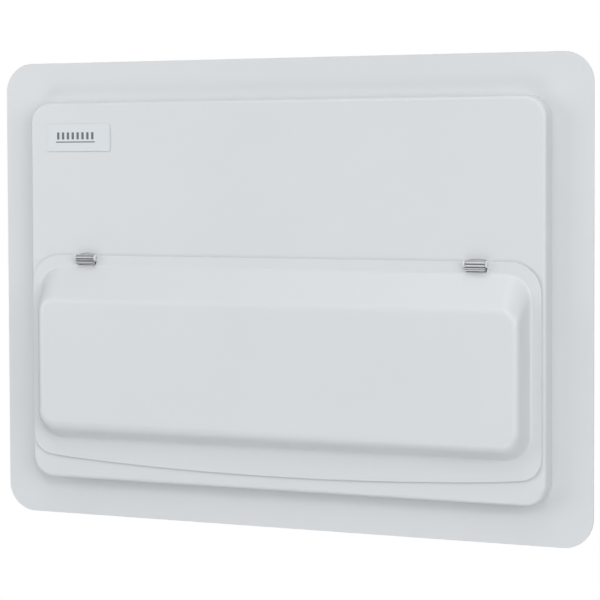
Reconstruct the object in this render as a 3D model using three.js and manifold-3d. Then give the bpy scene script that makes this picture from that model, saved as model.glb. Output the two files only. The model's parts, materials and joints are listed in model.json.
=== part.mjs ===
// A flush-mounted consumer unit (fuse box): a steel box let into a wall, a flush frame, a pressed front
// cover with a hinged lid, and the switchgear on its rail behind the lid.
//
// Everything is drawn in panel axes: x to the right, y up, z out of the wall from the rear of the box.
// The group at the end turns the panel upright, so that it stands with +Z up and faces -Y.
import * as THREE from "three";
import { mergeVertices } from "three/addons/utils/BufferGeometryUtils.js";
import Module from "manifold-3d";

// ---------------------------------------------------------------- driving dimensions, in millimetres

const GAP = 0.3; // between two pieces that rest on each other
const SHEET = 1.2; // steel sheet of the box, the frame, the cover and the lid
const OVERRUN = 1; // how far a cut runs past the face it goes through

// The row of devices
const MODULE_COUNT = 16;
const MODULE_PITCH = 18;
const MODULE_GAP = 0.3; // between two devices in the row
const NOSE_HEIGHT = 45;
const DEVICE_HEIGHT = 83;
const DEVICE_SHOULDER = 16; // from the nose face back to the terminal shoulders
const DEVICE_DEPTH = 60; // from the rail to the nose face
const NOSE_PROUD = 3; // nose face in front of the cover's face
const BLANK_MODULES = 4;
const BREAKER_COUNT = 8;
const WIDE_MODULES = 2; // width of the main switch, and of the surge protector
const DEVICE_CHAMFER = 0.6;
const DEVICE_HOOK = 2; // hook under the rail's brim
const DEVICE_FOOT = 4.2; // how far the hook's block reaches past the brim
const DEVICE_BACK = 2.3; // rear of the case in front of the rail, above and below the hooks
const BLANK_WALL = 1.5;
const BLANK_CATCH = 1.3; // catch of the blank plate behind the cover

// The cover
const COVER_SIDE_MARGIN = 26.3; // from the device window to the cover's edge
const COVER_HEIGHT = 243;
const COVER_DEPTH = 14.5; // cover's face in front of the frame
const COVER_CORNER = 13.5;
const COVER_EDGE = 2.5; // rounding where the face meets the walls
const WINDOW_CLEARANCE = 0.5;
const HINGE_SLOT_CLEARANCE = 0.6; // round a hinge leaf in its slot

// The flush frame and the box
const FRAME_SIDE_BORDER = 25.2; // frame showing at each side of the cover
const FRAME_END_BORDER = 26; // frame showing above and below the cover
const FRAME_CORNER = 18.5;
const BOX_DEPTH = 70;
const BOX_INSET = 3; // box inside the cover's outline
const BOX_CORNER = 3;
const BOX_LIP = 7; // turned-in front edge of the box
const FRAME_OVERHANG_CLEARANCE = 0.5;
const FRAME_RELIEF = 0.3; // set back over the box's lip, so that the frame lies flat on the wall
const FRAME_RELIEF_MARGIN = 0.5; // relief past the box's sides

// The lid
const LID_HEIGHT = 135.6;
const ROW_ABOVE_LID_BOTTOM = 68.4; // middle of the device row above the lid's lowest point
const LID_SIDE_GAP = 2.35; // from the cover's edge to the lid's
const LID_BOTTOM_GAP = 9.1; // from the cover's bottom edge to the lowest point of the lid
const LID_CLEARANCE = 0.6; // between the cover's face and the lid's rim
const LID_BOTTOM_RADIUS = 2120; // the lid's bottom edge is a shallow arc
const LID_TOP_CORNER = 19;
const LID_BOTTOM_CORNER = 14;
const LID_RISE = 15.4; // front of the rim to front of the bulge
const LID_RIM_SIDE = 6.6;
const LID_RIM_TOP = 7.3;
const LID_RIM_BOTTOM = 18.2;
const LID_TOP_SLOPE = 37; // degrees from the rim's plane
const LID_SIDE_SLOPE = 75;
const LID_BOTTOM_SLOPE = 65;
const LID_BULGE_EDGE = 8; // rounding at the front of the bulge's top and bottom walls
const LID_SIDE_EDGE = 6; // and of its side walls
const LID_BULGE_CORNER = 15;

// The lid's hinges
const HINGE_INSET = 39.4; // from the lid's side to the middle of each hinge
const HINGE_BELOW_EDGE = 1.5; // hinge axis below the lid's top edge
const HINGE_PROUD = 3.1; // hinge axis in front of the back of the rim
const HINGE_WIDTH = 12;
const KNUCKLE_RADIUS = 2.1;
const KNUCKLE_DROP = 2.1; // the knuckle is an oval that reaches this far below a round one
const PIN_RADIUS = 1;
const LEAF_SHEET = 0.9;
const LEAF_LENGTH = 13;
const EAR_WIDTH = 1.2;
const PIN_PROUD = 0.2;

// The rail
const RAIL_HEIGHT = 35;
const RAIL_DEPTH = 7.5;
const RAIL_WEB_HEIGHT = 27;
const RAIL_SHEET = 1;
const RAIL_OVERRUN = 2; // rail past each end of the device row
const BRACKET_WIDTH = 16;
const BRACKET_HEIGHT = 24;
const BRACKET_FOOT = 8;
const BRACKET_FROM_END = 16;

// Toggles and test buttons
const LEVER_PIVOT_DEPTH = 4.7; // pivot behind the nose face
const LEVER_DRUM = 6.2;
const LEVER_REACH = 13.8; // pivot to the tip of the handle
const LEVER_HANDLE = 4.4; // thickness of the handle at the drum
const LEVER_TIP = 1.5; // radius of the handle's tip
const LEVER_SWING = 40; // degrees each side of straight out
const LEVER_CLEARANCE = 0.6;
const TRUNNION_RADIUS = 1.4;
const TRUNNION_REACH = 2; // trunnion past each side of the drum
const BREAKER_LEVER_WIDTH = 8;
const MAIN_LEVER_WIDTH = 15;
const BUTTON_WIDTH = 6.4;
const BUTTON_HEIGHT = 4.4;
const BUTTON_ABOVE_PIVOT = 14.5;
const BUTTON_PROUD = 1.2;
const BUTTON_DEPTH = 4.8;
const BUTTON_TRAVEL = 1.5;

// The live busbar, below the devices
const BUSBAR_SHEET = 2;
const BUSBAR_HEIGHT = 10;
const BUSBAR_BELOW = 4.5; // from the devices' lower ends down to the bar
const BUSBAR_IN_FRONT_OF_RAIL = 28;
const PRONG_WIDTH = 4;
const PRONG_REACH = 7.5; // into the device
const PRONG_CLEARANCE = 0.6; // round a prong in its slot
const SHROUD_WALL = 1.2;
const SHROUD_CLEARANCE = 0.4;

// Neutral and earth terminal bars, on the rear wall
const BAR_LENGTH = 150;
const BAR_HEIGHT = 9;
const BAR_THICKNESS = 8;
const BAR_STAND = 18; // bar in front of the rear wall
const BAR_HOLES = 12;
const BAR_HOLE_RADIUS = 2.4;
const BAR_LEFT = -118; // left end of both bars
const NEUTRAL_BAR_FROM_TOP = 60; // below the cover's top edge
const EARTH_BAR_FROM_TOP = 30;
const CARRIER_POST = 12;
const CARRIER_BASE = 3;

// Cable entries in the top wall, and the clamp for the supply cables
const ENTRY_WIDTH = 150;
const ENTRY_DEPTH = 34;
const ENTRY_X = -42;
const TAIL_ENTRY_RADIUS = 16;
const TAIL_ENTRY_X = 120;
const ENTRY_Z = 34; // middle of both entries, from the rear
const GROMMET_WALL = 2.5;
const GROMMET_FLANGE = 2.5;
const GROMMET_THICKNESS = 1.5;
const CLAMP_WIDTH = 50;
const CLAMP_HEIGHT = 12;
const CLAMP_FROM_TOP = 34; // below the cover's top edge
const CLAMP_STRAP = 9;
const TAIL_CABLE_RADIUS = 6.5;
const TAIL_CABLE_SPACING = 17;

// Screws and pillars
const SCREW_CLEARANCE = 0.4;
const COVER_PILLAR_RADIUS = 4;
const COVER_PILLAR_FROM_EDGE = 17; // pillar's axis from the cover's side
const COVER_SCREW = { shank: 1.75, head: 3.5, thickness: 2.2, length: 12 };
const FRAME_SCREW = { shank: 1.4, head: 2.6, thickness: 1.6, length: 9 };
const RAIL_SCREW = { shank: 1.6, head: 3.3, thickness: 2, length: 8 };
const WALL_HOLE_RADIUS = 3;
const WALL_HOLE_INSET = [40, 30]; // fixing holes from the box's sides, and from its top and bottom

// Labels
const LABEL_THICKNESS = 0.3;
const BADGE_SIZE = [44.5, 17.5];
const BADGE_INSET = [13.5, 14]; // from the cover's left edge, and from its top edge
const BADGE_CORNER = 1.5;
const CIRCUIT_LABEL_HEIGHT = 12;
const CIRCUIT_LABEL_BELOW = 4; // below the device window

const ROUND_STEPS = 14; // sides of a small cylinder
const BORE_STEPS = 10; // sides of a terminal bar's cable hole
const CORNER_STEPS = 5;
const EDGE_STEPS = 4;
const BOTTOM_STEPS = 8;

// ---------------------------------------------------------------- sizes worked out from them

const windowWidth = MODULE_COUNT * MODULE_PITCH + 2 * WINDOW_CLEARANCE;
const windowHeight = NOSE_HEIGHT + 2 * WINDOW_CLEARANCE;
const coverWidth = windowWidth + 2 * COVER_SIDE_MARGIN;
const coverHalf = { x: coverWidth / 2, y: COVER_HEIGHT / 2 };
const boxHalf = { x: coverHalf.x - BOX_INSET, y: coverHalf.y - BOX_INSET };
const frameFront = BOX_DEPTH + SHEET;
const coverBase = frameFront + GAP;
const coverFace = frameFront + COVER_DEPTH;
const coverBack = coverFace - SHEET;
const lidBack = coverFace + LID_CLEARANCE;
const lidHalfWidth = coverHalf.x - LID_SIDE_GAP;
const lidBottom = -coverHalf.y + LID_BOTTOM_GAP;
const lidTop = lidBottom + LID_HEIGHT;
const hingeX = lidHalfWidth - HINGE_INSET;
const hingeY = lidTop - HINGE_BELOW_EDGE;
const hingeZ = lidBack + HINGE_PROUD;
const leafY = -KNUCKLE_RADIUS - KNUCKLE_DROP; // underside of the hinge leaf, from the hinge axis
const noseFace = coverFace + NOSE_PROUD;
const railFront = noseFace - DEVICE_DEPTH;
const railBack = railFront - RAIL_DEPTH;
const rearWall = SHEET + GAP;
const rowY = lidBottom + ROW_ABOVE_LID_BOTTOM;
const rowLeft = (-MODULE_COUNT * MODULE_PITCH) / 2;

// Where a device starts and ends along the row, from the module it starts at.
function moduleSpan(first, modules) {
  const left = rowLeft + first * MODULE_PITCH;
  return { middle: left + (modules * MODULE_PITCH) / 2, width: modules * MODULE_PITCH - MODULE_GAP };
}

// ---------------------------------------------------------------- solids

const wasm = await Module();
wasm.setup();

// Turns a closed three.js geometry into a solid that can be joined and cut.
function solidOf(geometry) {
  const bare = geometry.clone();
  bare.deleteAttribute("normal");
  bare.deleteAttribute("uv");
  const merged = mergeVertices(bare, 1e-4);
  const vertProperties = new Float32Array(merged.attributes.position.array);
  const triVerts = new Uint32Array(merged.index.array);
  return new wasm.Manifold(new wasm.Mesh({ numProp: 3, vertProperties, triVerts }));
}

// Turns a solid back into a geometry.
function geometryOf(solid) {
  const mesh = solid.getMesh();
  const geometry = new THREE.BufferGeometry();
  geometry.setAttribute("position", new THREE.BufferAttribute(mesh.vertProperties, 3));
  geometry.setIndex(new THREE.BufferAttribute(mesh.triVerts, 1));
  geometry.computeVertexNormals();
  return geometry;
}

const join = (first, ...others) => others.reduce((whole, piece) => whole.add(piece), first);
const cut = (first, ...others) => others.reduce((whole, piece) => whole.subtract(piece), first);

// A rectangular block between two values on each axis.
function block([x0, x1], [y0, y1], [z0, z1]) {
  const geometry = new THREE.BoxGeometry(x1 - x0, y1 - y0, z1 - z0);
  return solidOf(geometry.translate((x0 + x1) / 2, (y0 + y1) / 2, (z0 + z1) / 2));
}

// The span of a given length round a middle.
const about = (middle, length) => [middle - length / 2, middle + length / 2];

// A round bar along one axis; "across" is its place on the two other axes, in x, y, z order.
function rod(axis, radius, [from, to], across, steps = ROUND_STEPS) {
  const geometry = new THREE.CylinderGeometry(radius, radius, to - from, steps);
  const middle = (from + to) / 2;
  if (axis === "x") {
    geometry.rotateZ(-Math.PI / 2).translate(middle, across[0], across[1]);
  } else if (axis === "y") {
    geometry.translate(across[0], middle, across[1]);
  } else {
    geometry.rotateX(Math.PI / 2).translate(across[0], across[1], middle);
  }
  return solidOf(geometry);
}

// A rectangle with rounded corners, in the panel's plane.
function roundedRectangle([x0, x1], [y0, y1], radius) {
  const shape = new THREE.Shape();
  shape.absarc(x1 - radius, y1 - radius, radius, 0, Math.PI / 2);
  shape.absarc(x0 + radius, y1 - radius, radius, Math.PI / 2, Math.PI);
  shape.absarc(x0 + radius, y0 + radius, radius, Math.PI, 1.5 * Math.PI);
  shape.absarc(x1 - radius, y0 + radius, radius, 1.5 * Math.PI, 2 * Math.PI);
  return shape;
}

// A plate: an outline in the panel's plane, between two depths.
function plate(shape, [z0, z1], curveSegments = CORNER_STEPS) {
  const options = { depth: z1 - z0, bevelEnabled: false, curveSegments };
  return solidOf(new THREE.ExtrudeGeometry(shape, options).translate(0, 0, z0));
}

// A section drawn in the y-z plane, drawn out along x.
function profileBar(shape, [x0, x1], curveSegments = CORNER_STEPS) {
  const options = { depth: x1 - x0, bevelEnabled: false, curveSegments };
  const toX = new THREE.Matrix4().makeBasis(
    new THREE.Vector3(0, 1, 0),
    new THREE.Vector3(0, 0, 1),
    new THREE.Vector3(1, 0, 0),
  );
  return solidOf(new THREE.ExtrudeGeometry(shape, options).applyMatrix4(toX).translate(x0, 0, 0));
}

const polygon = (points) => new THREE.Shape(points.map(([a, b]) => new THREE.Vector2(a, b)));

// One ring of a pressed shell: a rounded rectangle at a depth, whose bottom edge may bow downwards.
function ring({ halfWidth, top, bottom, topCorner, bottomCorner, bowRadius = Infinity, depth }) {
  const lift = (x) => (x * x) / (2 * bowRadius);
  const points = [];
  for (let i = 1; i < BOTTOM_STEPS; i++) {
    const x = (halfWidth - bottomCorner) * ((2 * i) / BOTTOM_STEPS - 1);
    points.push([x, bottom + lift(x), depth]);
  }
  const corners = [
    { x: halfWidth - bottomCorner, y: bottom + lift(halfWidth) + bottomCorner, r: bottomCorner, turn: -0.5 },
    { x: halfWidth - topCorner, y: top - topCorner, r: topCorner, turn: 0 },
    { x: topCorner - halfWidth, y: top - topCorner, r: topCorner, turn: 0.5 },
    { x: bottomCorner - halfWidth, y: bottom + lift(halfWidth) + bottomCorner, r: bottomCorner, turn: 1 },
  ];
  for (const corner of corners) {
    for (let i = 0; i <= CORNER_STEPS; i++) {
      const angle = (corner.turn + (0.5 * i) / CORNER_STEPS) * Math.PI;
      points.push([corner.x + corner.r * Math.cos(angle), corner.y + corner.r * Math.sin(angle), depth]);
    }
  }
  return points;
}

// A closed shell through rings, from the middle of its front face over the edge to the middle of its back.
function pressedShell(rings) {
  const count = rings[0].length;
  const positions = rings.flat(2);
  const index = [];
  for (let level = 0; level + 1 < rings.length; level++) {
    for (let i = 0; i < count; i++) {
      const next = (i + 1) % count;
      const [a, b] = [level * count + i, level * count + next];
      index.push(a, a + count, b + count, a, b + count, b);
    }
  }
  const last = (rings.length - 1) * count;
  for (let i = 1; i + 1 < count; i++) {
    index.push(0, i, i + 1);
    index.push(last, last + i + 1, last + i);
  }
  const geometry = new THREE.BufferGeometry();
  geometry.setAttribute("position", new THREE.Float32BufferAttribute(positions, 3));
  geometry.setIndex(index);
  return solidOf(geometry);
}

// How far in a sloping wall has come at a height, where it turns into the front face with a rounding.
function wallInset(height, rise, slopeDegrees, edge) {
  const slope = THREE.MathUtils.degToRad(slopeDegrees);
  const below = rise - height;
  if (below >= edge * (1 - Math.cos(slope))) return height / Math.tan(slope);
  const turned = Math.acos(1 - below / edge);
  return rise / Math.tan(slope) + edge * (Math.tan(slope / 2) - Math.sin(turned));
}

// The heights at which a rounding that turns through a slope is stepped, from the face down.
function edgeHeights(rise, slopeDegrees, edge) {
  const step = THREE.MathUtils.degToRad(slopeDegrees) / EDGE_STEPS;
  return Array.from({ length: EDGE_STEPS + 1 }, (_, i) => rise - edge * (1 - Math.cos(step * i)));
}

// A pan-head screw along z with its head's underside at z = 0.
function screwSolid({ shank, head, thickness, length }) {
  return join(rod("z", shank, [-length, GAP], [0, 0]), rod("z", head, [0, thickness], [0, 0]));
}

// ---------------------------------------------------------------- materials

const finish = (color, roughness, metalness) => ({ color, roughness, metalness });
const WHITE_STEEL = finish(0xe6e8ea, 0.42, 0.05);
const GALVANISED = finish(0xb9bdc0, 0.45, 0.85);
const BRIGHT_STEEL = finish(0xc9ccce, 0.28, 1);
const DEVICE_PLASTIC = finish(0xeceded, 0.5, 0);
const LEVER_BLACK = finish(0x24262a, 0.4, 0);
const LEVER_RED = finish(0xc0282c, 0.4, 0);
const BUTTON_PLASTIC = finish(0xd8b23a, 0.45, 0);
const BLANK_PLASTIC = finish(0xdfe1e2, 0.5, 0);
const COPPER = finish(0xb8734a, 0.3, 1);
const BRASS = finish(0xc2a35c, 0.32, 1);
const GREY_PLASTIC = finish(0x8f959b, 0.55, 0);
const RUBBER = finish(0x2b2d2f, 0.8, 0);
const PAPER = finish(0xf3f4f4, 0.7, 0);

// A named mesh with a material of its own.
function piece(name, geometry, look) {
  const mesh = new THREE.Mesh(geometry, new THREE.MeshStandardMaterial(look));
  mesh.name = name;
  return mesh;
}

const panel = new THREE.Group();

function place(name, geometry, look, x = 0, y = 0, z = 0) {
  const mesh = piece(name, geometry, look);
  mesh.position.set(x, y, z);
  panel.add(mesh);
  return mesh;
}

const SIDES = [
  ["left", -1],
  ["right", 1],
];

// ---------------------------------------------------------------- box, frame and cover

const pillarX = coverHalf.x - COVER_PILLAR_FROM_EDGE;
const lipHalf = { x: boxHalf.x - SHEET - BOX_LIP, y: boxHalf.y - SHEET - BOX_LIP };
const frameScrewX = boxHalf.x - SHEET - BOX_LIP / 2;
const entryTop = boxHalf.y;

function backBox() {
  const inner = { x: boxHalf.x - SHEET, y: boxHalf.y - SHEET };
  const innerCorner = BOX_CORNER - SHEET;
  const front = BOX_DEPTH - GAP;
  const outside = roundedRectangle([-boxHalf.x, boxHalf.x], [-boxHalf.y, boxHalf.y], BOX_CORNER);
  const inside = roundedRectangle([-inner.x, inner.x], [-inner.y, inner.y], innerCorner);
  const mouth = roundedRectangle([-lipHalf.x, lipHalf.x], [-lipHalf.y, lipHalf.y], innerCorner);
  const wallHoles = [-1, 1].flatMap((sideX) =>
    [-1, 1].map((sideY) => {
      const centre = [sideX * (boxHalf.x - WALL_HOLE_INSET[0]), sideY * (boxHalf.y - WALL_HOLE_INSET[1])];
      return rod("z", WALL_HOLE_RADIUS, [-OVERRUN, SHEET + OVERRUN], centre);
    }),
  );
  const throughLip = [front - SHEET - OVERRUN, front + OVERRUN];
  const screwHoles = [-1, 1].map((side) =>
    rod("z", FRAME_SCREW.shank + SCREW_CLEARANCE, throughLip, [side * frameScrewX, 0]),
  );
  const throughTop = [entryTop - SHEET - OVERRUN, entryTop + OVERRUN];
  return cut(
    plate(outside, [0, front]),
    plate(inside, [SHEET, front - SHEET]),
    plate(mouth, throughLip),
    block(about(ENTRY_X, ENTRY_WIDTH), throughTop, about(ENTRY_Z, ENTRY_DEPTH)),
    rod("y", TAIL_ENTRY_RADIUS, throughTop, [TAIL_ENTRY_X, ENTRY_Z], 2 * ROUND_STEPS),
    ...wallHoles,
    ...screwHoles,
  );
}

function flushFrame() {
  const half = { x: coverHalf.x + FRAME_SIDE_BORDER, y: coverHalf.y + FRAME_END_BORDER };
  const mouth = { x: lipHalf.x + FRAME_OVERHANG_CLEARANCE, y: lipHalf.y + FRAME_OVERHANG_CLEARANCE };
  const outside = roundedRectangle([-half.x, half.x], [-half.y, half.y], FRAME_CORNER);
  const opening = roundedRectangle([-mouth.x, mouth.x], [-mouth.y, mouth.y], BOX_CORNER);
  const overBox = { x: boxHalf.x + FRAME_RELIEF_MARGIN, y: boxHalf.y + FRAME_RELIEF_MARGIN };
  const relief = roundedRectangle([-overBox.x, overBox.x], [-overBox.y, overBox.y], BOX_CORNER);
  const through = [-OVERRUN, SHEET + OVERRUN];
  const screwHoles = [-1, 1].map((side) =>
    rod("z", FRAME_SCREW.shank + SCREW_CLEARANCE, through, [side * frameScrewX, 0]),
  );
  return cut(
    plate(outside, [0, SHEET], 2 * CORNER_STEPS),
    plate(opening, through),
    plate(relief, [-OVERRUN, FRAME_RELIEF]),
    ...screwHoles,
  );
}

function coverRing(inset, depth) {
  return ring({
    halfWidth: coverHalf.x - inset,
    top: coverHalf.y - inset,
    bottom: inset - coverHalf.y,
    topCorner: COVER_CORNER - inset,
    bottomCorner: COVER_CORNER - inset,
    depth,
  });
}

function frontCover() {
  const rise = coverFace - coverBase;
  const outer = edgeHeights(rise, 90, COVER_EDGE).map((h) =>
    coverRing(wallInset(h, rise, 90, COVER_EDGE), coverBase + h),
  );
  const innerRise = coverBack - coverBase;
  const innerEdge = COVER_EDGE - SHEET;
  const inner = edgeHeights(innerRise, 90, innerEdge).map((h) =>
    coverRing(SHEET + wallInset(h, innerRise, 90, innerEdge), coverBase + h),
  );
  const hem = [coverRing(0, coverBase), coverRing(SHEET, coverBase)];
  const shell = pressedShell([...outer, ...hem, ...inner.reverse()]);
  const through = [coverBack - OVERRUN, coverFace + OVERRUN];
  const leafBottom = hingeY + leafY;
  const slots = [-1, 1].map((side) =>
    block(
      about(side * hingeX, HINGE_WIDTH + 2 * HINGE_SLOT_CLEARANCE),
      [leafBottom - HINGE_SLOT_CLEARANCE, leafBottom + LEAF_SHEET + HINGE_SLOT_CLEARANCE],
      through,
    ),
  );
  const screwHoles = [-1, 1].map((side) =>
    rod("z", COVER_SCREW.shank + SCREW_CLEARANCE, through, [side * pillarX, rowY]),
  );
  const window = block(about(0, windowWidth), about(rowY, windowHeight), through);
  return cut(shell, window, ...slots, ...screwHoles);
}

place("back_box", geometryOf(backBox()), GALVANISED);
place("flush_frame", geometryOf(flushFrame()), WHITE_STEEL, 0, 0, BOX_DEPTH);
place("front_cover", geometryOf(frontCover()), WHITE_STEEL);

const frameScrewGeometry = geometryOf(screwSolid(FRAME_SCREW));
const coverScrewGeometry = geometryOf(screwSolid(COVER_SCREW));
for (const [side, sign] of SIDES) {
  place(`frame_screw_${side}`, frameScrewGeometry, BRIGHT_STEEL, sign * frameScrewX, 0, frameFront + GAP);
  place(`cover_screw_${side}`, coverScrewGeometry, BRIGHT_STEEL, sign * pillarX, rowY, coverFace + GAP);
}

// A pillar from the rear wall to the back of the cover, threaded for the cover screw.
function coverPillar() {
  const top = coverBack - GAP - rearWall;
  const bore = COVER_SCREW.shank + SCREW_CLEARANCE;
  const tapped = rod("z", bore, [top - COVER_SCREW.length, top + OVERRUN], [0, 0]);
  return cut(rod("z", COVER_PILLAR_RADIUS, [0, top], [0, 0]), tapped);
}

const pillarGeometry = geometryOf(coverPillar());
for (const [side, sign] of SIDES) {
  place(`cover_pillar_${side}`, pillarGeometry, GALVANISED, sign * pillarX, rowY, rearWall);
}

// ---------------------------------------------------------------- lid and hinges

function rimRing(depth) {
  return ring({
    halfWidth: lidHalfWidth,
    top: lidTop,
    bottom: lidBottom,
    topCorner: LID_TOP_CORNER,
    bottomCorner: LID_BOTTOM_CORNER,
    bowRadius: LID_BOTTOM_RADIUS,
    depth,
  });
}

// A ring of the bulge at a height over the rim; the inner face is the outer one moved in by the sheet.
function bulgeRing(height, depth, sheet) {
  const wall = (slope, edge) =>
    sheet * Math.tan(THREE.MathUtils.degToRad(slope / 2)) + wallInset(height, LID_RISE, slope, edge - sheet);
  const side = wall(LID_SIDE_SLOPE, LID_SIDE_EDGE);
  return ring({
    halfWidth: lidHalfWidth - LID_RIM_SIDE - side,
    top: lidTop - LID_RIM_TOP - wall(LID_TOP_SLOPE, LID_BULGE_EDGE),
    bottom: lidBottom + LID_RIM_BOTTOM + wall(LID_BOTTOM_SLOPE, LID_BULGE_EDGE),
    topCorner: LID_BULGE_CORNER - side,
    bottomCorner: LID_BULGE_CORNER - side,
    depth: depth + height,
  });
}

const heightsOf = (edge) => [...edgeHeights(LID_RISE, LID_SIDE_SLOPE, edge), 0];

// The ears either side of a hinge knuckle, standing on the rim, with the pin's holes through them.
function hingeEars(middle) {
  const foot = [hingeY - KNUCKLE_RADIUS, lidTop];
  return [-1, 1].map((side) => {
    const x = about(middle + side * (HINGE_WIDTH / 2 + GAP + EAR_WIDTH / 2), EAR_WIDTH);
    const head = rod("x", KNUCKLE_RADIUS, x, [hingeY, hingeZ]);
    return cut(
      join(block(x, foot, [lidBack, hingeZ]), head),
      rod("x", PIN_RADIUS + GAP, [x[0] - OVERRUN, x[1] + OVERRUN], [hingeY, hingeZ]),
    );
  });
}

function lidSolid() {
  const outer = heightsOf(LID_BULGE_EDGE).map((h) => bulgeRing(h, lidBack + SHEET, 0));
  const inner = heightsOf(LID_BULGE_EDGE - SHEET).map((h) => bulgeRing(h, lidBack, SHEET));
  const shell = pressedShell([...outer, rimRing(lidBack + SHEET), rimRing(lidBack), ...inner.reverse()]);
  const notches = [-1, 1].map((side) =>
    block(
      about(side * hingeX, HINGE_WIDTH + 2 * GAP),
      [hingeY + leafY - HINGE_SLOT_CLEARANCE, lidTop + OVERRUN],
      [lidBack - OVERRUN, hingeZ + KNUCKLE_RADIUS],
    ),
  );
  const ears = [-1, 1].flatMap((side) => hingeEars(side * hingeX));
  return join(cut(shell, ...notches), ...ears);
}

// A steel leaf behind the cover that comes out through its slot and curls up round the pin.
function hingeClip() {
  const x = about(0, HINGE_WIDTH);
  const leafFront = coverBack - GAP - hingeZ;
  const leaf = [leafY, leafY + LEAF_SHEET];
  const lowerCentre = [-KNUCKLE_DROP, 0];
  return cut(
    join(
      rod("x", KNUCKLE_RADIUS, x, [0, 0], 2 * ROUND_STEPS),
      rod("x", KNUCKLE_RADIUS, x, lowerCentre, 2 * ROUND_STEPS),
      block(x, [-KNUCKLE_DROP, 0], about(0, 2 * KNUCKLE_RADIUS)),
      block(x, leaf, [leafFront - LEAF_SHEET, 0]),
      block(x, [leafY - LEAF_LENGTH, leaf[1]], [leafFront - LEAF_SHEET, leafFront]),
    ),
    rod("x", PIN_RADIUS + GAP, [x[0] - OVERRUN, x[1] + OVERRUN], [0, 0]),
  );
}

place("lid", geometryOf(lidSolid()), WHITE_STEEL);
const clipGeometry = geometryOf(hingeClip());
const pinLength = HINGE_WIDTH + 2 * (GAP + EAR_WIDTH + PIN_PROUD);
const pinGeometry = geometryOf(rod("x", PIN_RADIUS, about(0, pinLength), [0, 0]));
for (const [side, sign] of SIDES) {
  place(`hinge_clip_${side}`, clipGeometry, BRIGHT_STEEL, sign * hingeX, hingeY, hingeZ);
  place(`hinge_pin_${side}`, pinGeometry, BRIGHT_STEEL, sign * hingeX, hingeY, hingeZ);
}

// ---------------------------------------------------------------- rail

// The rail, seen from its end: a top-hat section with its brim towards the devices.
function railSection() {
  const [brim, web, s, d] = [RAIL_HEIGHT / 2, RAIL_WEB_HEIGHT / 2, RAIL_SHEET, RAIL_DEPTH];
  const half = [
    [brim, d],
    [web - s, d],
    [web - s, s],
  ];
  const outside = [
    [web, 0],
    [web, d - s],
    [brim, d - s],
  ];
  const mirrored = (points) => points.map(([y, z]) => [-y, z]).reverse();
  return polygon([...mirrored(outside), ...outside, ...half, ...mirrored(half)]);
}

const railHalfLength = (MODULE_COUNT * MODULE_PITCH) / 2 + RAIL_OVERRUN;
const bracketX = railHalfLength - BRACKET_FROM_END;

function dinRail() {
  const bar = profileBar(railSection(), [-railHalfLength, railHalfLength]);
  const holes = [-1, 1].map((side) =>
    rod("z", RAIL_SCREW.shank + SCREW_CLEARANCE, [-OVERRUN, RAIL_SHEET + OVERRUN], [side * bracketX, 0]),
  );
  return cut(bar, ...holes);
}

// A hat-shaped bracket that carries the rail off the rear wall.
function railBracket() {
  const top = railBack - GAP - rearWall;
  const [y, foot, s] = [BRACKET_HEIGHT / 2, BRACKET_FOOT, SHEET];
  const x = about(0, BRACKET_WIDTH);
  const legs = [-1, 1].flatMap((side) => {
    const leg = [side * y, side * (y - s)].sort((a, b) => a - b);
    const sole = [side * (y - s), side * (y + foot)].sort((a, b) => a - b);
    return [block(x, leg, [0, top]), block(x, sole, [0, s])];
  });
  const hole = rod("z", RAIL_SCREW.shank + SCREW_CLEARANCE, [top - s - OVERRUN, top + OVERRUN], [0, 0]);
  return cut(join(block(x, [-y, y], [top - s, top]), ...legs), hole);
}

place("din_rail", geometryOf(dinRail()), GALVANISED, 0, rowY, railBack);
const bracketGeometry = geometryOf(railBracket());
const railScrewGeometry = geometryOf(screwSolid(RAIL_SCREW));
for (const [side, sign] of SIDES) {
  const x = sign * bracketX;
  place(`rail_bracket_${side}`, bracketGeometry, GALVANISED, x, rowY, rearWall);
  place(`din_rail_screw_${side}`, railScrewGeometry, BRIGHT_STEEL, x, rowY, railBack + RAIL_SHEET + GAP);
}

// ---------------------------------------------------------------- devices on the rail

// The side view of a device, from the middle of the rail's front: z = 0 is the rail's front face.
function deviceSection() {
  const [tall, nose, face] = [DEVICE_HEIGHT / 2, NOSE_HEIGHT / 2, DEVICE_DEPTH];
  const shoulder = face - DEVICE_SHOULDER;
  const brim = RAIL_HEIGHT / 2 + GAP;
  const hookTop = -RAIL_SHEET - GAP;
  const hookBack = hookTop - RAIL_SHEET;
  const upper = [
    [brim, GAP],
    [brim, hookTop],
    [brim - DEVICE_HOOK, hookTop],
    [brim - DEVICE_HOOK, hookBack],
    [brim + DEVICE_FOOT, hookBack],
    [brim + DEVICE_FOOT, DEVICE_BACK],
    [tall, DEVICE_BACK],
    [tall, shoulder],
    [nose + 2 * DEVICE_CHAMFER, shoulder + DEVICE_CHAMFER],
    [nose, shoulder + 3 * DEVICE_CHAMFER],
    [nose, face - DEVICE_CHAMFER],
    [nose - DEVICE_CHAMFER, face],
  ];
  return polygon([...upper, ...upper.map(([y, z]) => [-y, z]).reverse()]);
}

// The slot in the nose that a lever's drum turns in, with the bearing holes of its trunnions.
function leverSlot(width) {
  const pivot = DEVICE_DEPTH - LEVER_PIVOT_DEPTH;
  const reach = LEVER_DRUM + LEVER_CLEARANCE;
  const bearing = width + 2 * (TRUNNION_REACH + GAP);
  return [
    block(about(0, width + 2 * GAP), [-reach, reach], [pivot - reach, DEVICE_DEPTH + OVERRUN]),
    rod("x", TRUNNION_RADIUS + GAP, about(0, bearing), [0, pivot]),
  ];
}

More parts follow.
